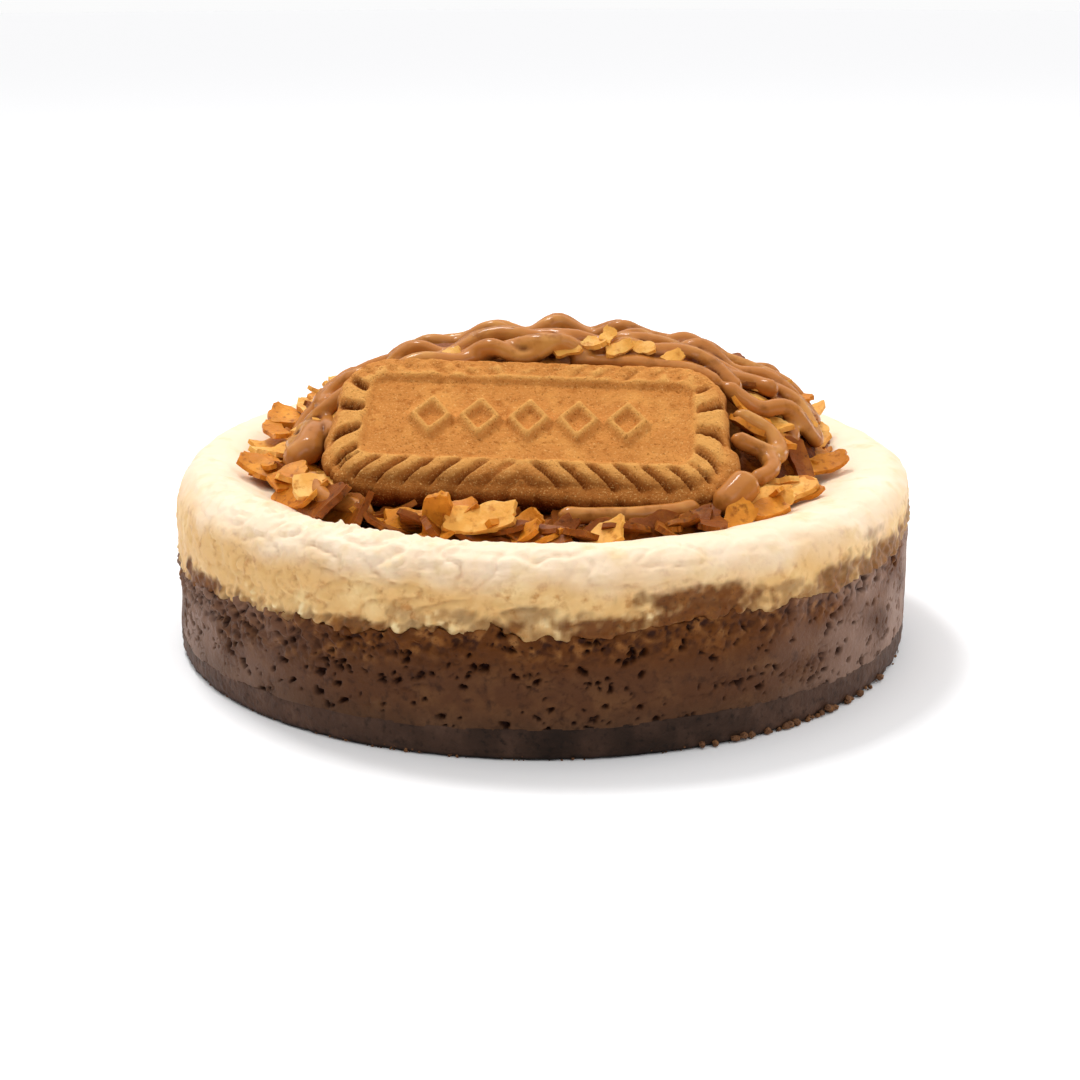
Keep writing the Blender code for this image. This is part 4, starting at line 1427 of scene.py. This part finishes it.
def face_height(x, y):
    """Height of the biscuit's face over its flat top."""
    panel = corner_distance(x, y, PANEL_LENGTH, PANEL_WIDTH, PANEL_CORNER)
    rim = corner_distance(x, y, BISCUIT_LENGTH, BISCUIT_WIDTH, BISCUIT_CORNER)
    top = smooth_step(PANEL_WIDTH / 2 - 2.0, PANEL_WIDTH / 2 + 1.0, y)
    sunk = -(PANEL_DEPTH + 0.15 * top) * smooth_step(0.35, -0.55, panel)
    lip = 0.28 * bell(panel - 0.6, 0.6) * (1.0 + noise.noise(Vector((x, y, 2.0)) / 3.0))

    # The flutes are worn off along the upper edge and fade where they turn, near the middle.
    worn = 1.0 - 0.6 * bell(x + 2.5, 4.5) if abs(x) < PANEL_LENGTH / 2 else 1.0
    fluted = smooth_step(0.5, 1.2, panel) * smooth_step(0.2, -2.0, rim) * (1.0 - 0.8 * top)
    flutes = fluted * worn * (0.35 - 1.6 * flute_groove(x, y))

    # In their place the upper edge is rough.
    torn = 0.5 * noise.noise(Vector((x, y, 5.0)) / 2.2) + 0.3 * noise.noise(Vector((x, y, 7.0)))
    rough = top * bell(panel - 2.4, 1.8) * torn
    raised = 1.3 * lozenge_height(x, y) * smooth_step(0.0, -1.0, panel)
    return sunk + lip + flutes + rough + raised


def biscuit_relief(point):
    """Crumbly unevenness all over, with a few small pits."""
    uneven = 0.16 * noise.noise(point / 5.0) + 0.09 * noise.noise(point / 1.6)
    uneven += 0.08 * noise.noise(point / 0.7)
    nearest = noise.voronoi(point / 2.9)[0][0]
    pit = 0.34 * bell(nearest, 0.16) * (1.0 if noise.noise(point / 4.0) > 0.12 else 0.0)
    return uneven - pit


# %% Move the slab's points
biscuit_shape.normal_update()
tones = biscuit_shape.verts.layers.float_color.new("tones")
for vert in biscuit_shape.verts:
    place = vert.co.copy()
    facing = smooth_step(0.35, 0.8, vert.normal.z)
    groove = flute_groove(place.x, place.y)
    on_edge = smooth_step(0.8, 0.35, abs(vert.normal.z)) * smooth_step(-6.2, -1.5, place.z)
    relief = biscuit_relief(place)
    height = face_height(place.x, place.y) * facing

    # The lower edge swelled in lobes as it baked, most of all towards the right.
    lobes = 0.5 * noise.noise(Vector((place.x / 6.5, 0.0, 4.0)))
    bulge = 0.9 + 1.0 * smooth_step(-6.0, 14.0, place.x) + lobes
    swollen = bulge * on_edge * smooth_step(2.0, -9.0, place.y)
    vert.co += vert.normal * (relief + swollen - 0.55 * on_edge * groove)
    vert.co.z += height

    # The tones: painted shade in flute hollows, painted light on raised parts, browned and shaded
    # edge.
    on_rim = corner_distance(place.x, place.y, PANEL_LENGTH, PANEL_WIDTH, PANEL_CORNER) > 0.4
    # Painted shade in the hollows and painted light on the raised parts.
    hollow = smooth_step(-0.25, -0.9, height + relief) if on_rim else 0.0
    raised = smooth_step(0.05, 0.45, height + relief)
    # The edge tone is browning down the slab's sides, and painted shade along its front rim.
    edge = max(smooth_step(-0.3, -3.2, place.z), 0.6 * smooth_step(-9.0, -13.5, place.y))
    vert[tones] = (hollow, raised, edge, 1.0)
bmesh.ops.transform(biscuit_shape, matrix=biscuit_pose, verts=biscuit_shape.verts)

# %% [markdown]
# ## The biscuit's finish
# Baked sugar biscuit is matte and finely grained. Its raised parts are painted lighter, as
# painted light, and its hollows darker, as painted shade, and it browns towards its lower edge,
# where its front rim also gets painted shade. The three tones from the mesh pick out the shaded
# hollows, the lit raised parts and the edge. Pale specks and dark pinholes are added on top,
# and the grain group gives the sandy surface.

# %% Biscuit material and mesh
biscuit_material, tree, shader = new_material("caramelised_biscuit", 0.7, 0.05)
shaded_hollow_tone, lit_raised_tone, browned_and_shaded_edge_tone = add_tones(tree)
biscuit_colour = add_mottling(tree, 190.0, "ca8440", "da964c", "ae682a")
place = own_place(tree)
specks = add_range(tree, add_noise(tree, place, 3200.0, 2.0, 0.7), 0.56, 0.74)
holes = add_range(tree, add_noise(tree, place, 2100.0, 2.0, 0.7), 0.42, 0.30)
base = add_layers(
    tree, biscuit_colour,
    (lit_raised_tone, "dc9e54"),
    (browned_and_shaded_edge_tone, "743804"),
    (shaded_hollow_tone, "6c3204"),
    (add_math(tree, "MULTIPLY", specks, 0.6), "f0bf78"),
    (add_math(tree, "MULTIPLY", holes, 0.6), "86480f"),
)
add_finish(tree, shader, base, 2300.0, 0.7, 0.28)
biscuit = make_piece("biscuit_body", biscuit_shape, biscuit_material)
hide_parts("biscuit")

# %% [markdown]
# ## Floor, light and camera
# The cake stands on a plain pale floor under soft studio light. A very large lamp overhead
# lights the pale rim and leaves the brown side darker. A small key lamp above and behind the
# cake, a little to the left, puts glints on the spread. Two low lamps brighten its left and
# right sides, and a weak one fills in from the front right. The sky gives little light, but
# the camera sees it as white. The camera is 0.3 m away and looks down by 17 degrees.

# %% Floor and light
FLOOR_RADIUS = 2.6
SKY_LIGHT = 0.22
SEEN_SKY = 0.75

floor_material, tree, shader = new_material("pale_floor", 1.0, 0.0)
shader.inputs["Base Color"].default_value = colour("fafafb")
floor_shape = bmesh.new()
bmesh.ops.create_circle(floor_shape, cap_ends=True, radius=FLOOR_RADIUS, segments=96)
floor_mesh = mesh_from(floor_shape, "floor")
floor_mesh.materials.append(floor_material)
floor = add_object("floor", floor_mesh)

world = bpy.data.worlds.new("studio")
bpy.context.scene.world = world
world.use_nodes = True
sky = world.node_tree.nodes["Background"]
sky.inputs["Color"].default_value = (1.0, 1.0, 1.0, 1.0)
seen = world.node_tree.nodes.new("ShaderNodeLightPath").outputs["Is Camera Ray"]
extra = add_math(world.node_tree, "MULTIPLY", seen, SEEN_SKY)
strength = add_math(world.node_tree, "ADD", extra, SKY_LIGHT)
world.node_tree.links.new(strength, sky.inputs["Strength"])


def add_lamp(name, place, size, power):
    """A square area lamp that looks at the middle of the cake."""
    light = bpy.data.lights.new(name, "AREA")
    light.size = size
    light.energy = power
    lamp = add_object(name, light)
    lamp.location = place
    aim = Vector((0.0, 0.0, 0.02)) - lamp.location
    lamp.rotation_mode = "QUATERNION"
    lamp.rotation_quaternion = aim.to_track_quat("-Z", "Y")


add_lamp("ceiling", (0.0, 1.0, 4.0), 12.0, 470.0)
add_lamp("key", (-0.16, 0.20, 0.62), 0.12, 1.9)
add_lamp("left_side", (-0.90, 0.36, 0.12), 0.40, 1.1)
add_lamp("right_side", (0.90, 0.36, 0.12), 0.40, 2.4)
add_lamp("front", (0.35, -0.70, 0.50), 0.35, 1.1)
bpy.context.scene.view_settings.view_transform = "Standard"

# %% Camera
CAMERA_PLACE = (-0.0005, -0.3027, 0.1059)
CAMERA_PITCH = 16.95
CAMERA_ROLL = -0.13
SENSOR_WIDTH = 36.0
# How many times the width of the frame the focal length is.
FOCAL_RATIO = 2000.0 / 1080.0
camera_data = bpy.data.cameras.new("camera")
camera_data.sensor_width = SENSOR_WIDTH
camera_data.lens = SENSOR_WIDTH * FOCAL_RATIO
camera_data.clip_start = 0.01
camera_data.clip_end = 60.0
camera = add_object("camera", camera_data)
camera.matrix_world = (
    Matrix.Translation(CAMERA_PLACE)
    @ Matrix.Rotation(math.radians(90.0 - CAMERA_PITCH), 4, "X")
    @ Matrix.Rotation(math.radians(CAMERA_ROLL), 4, "Z")
)
bpy.context.scene.camera = camera
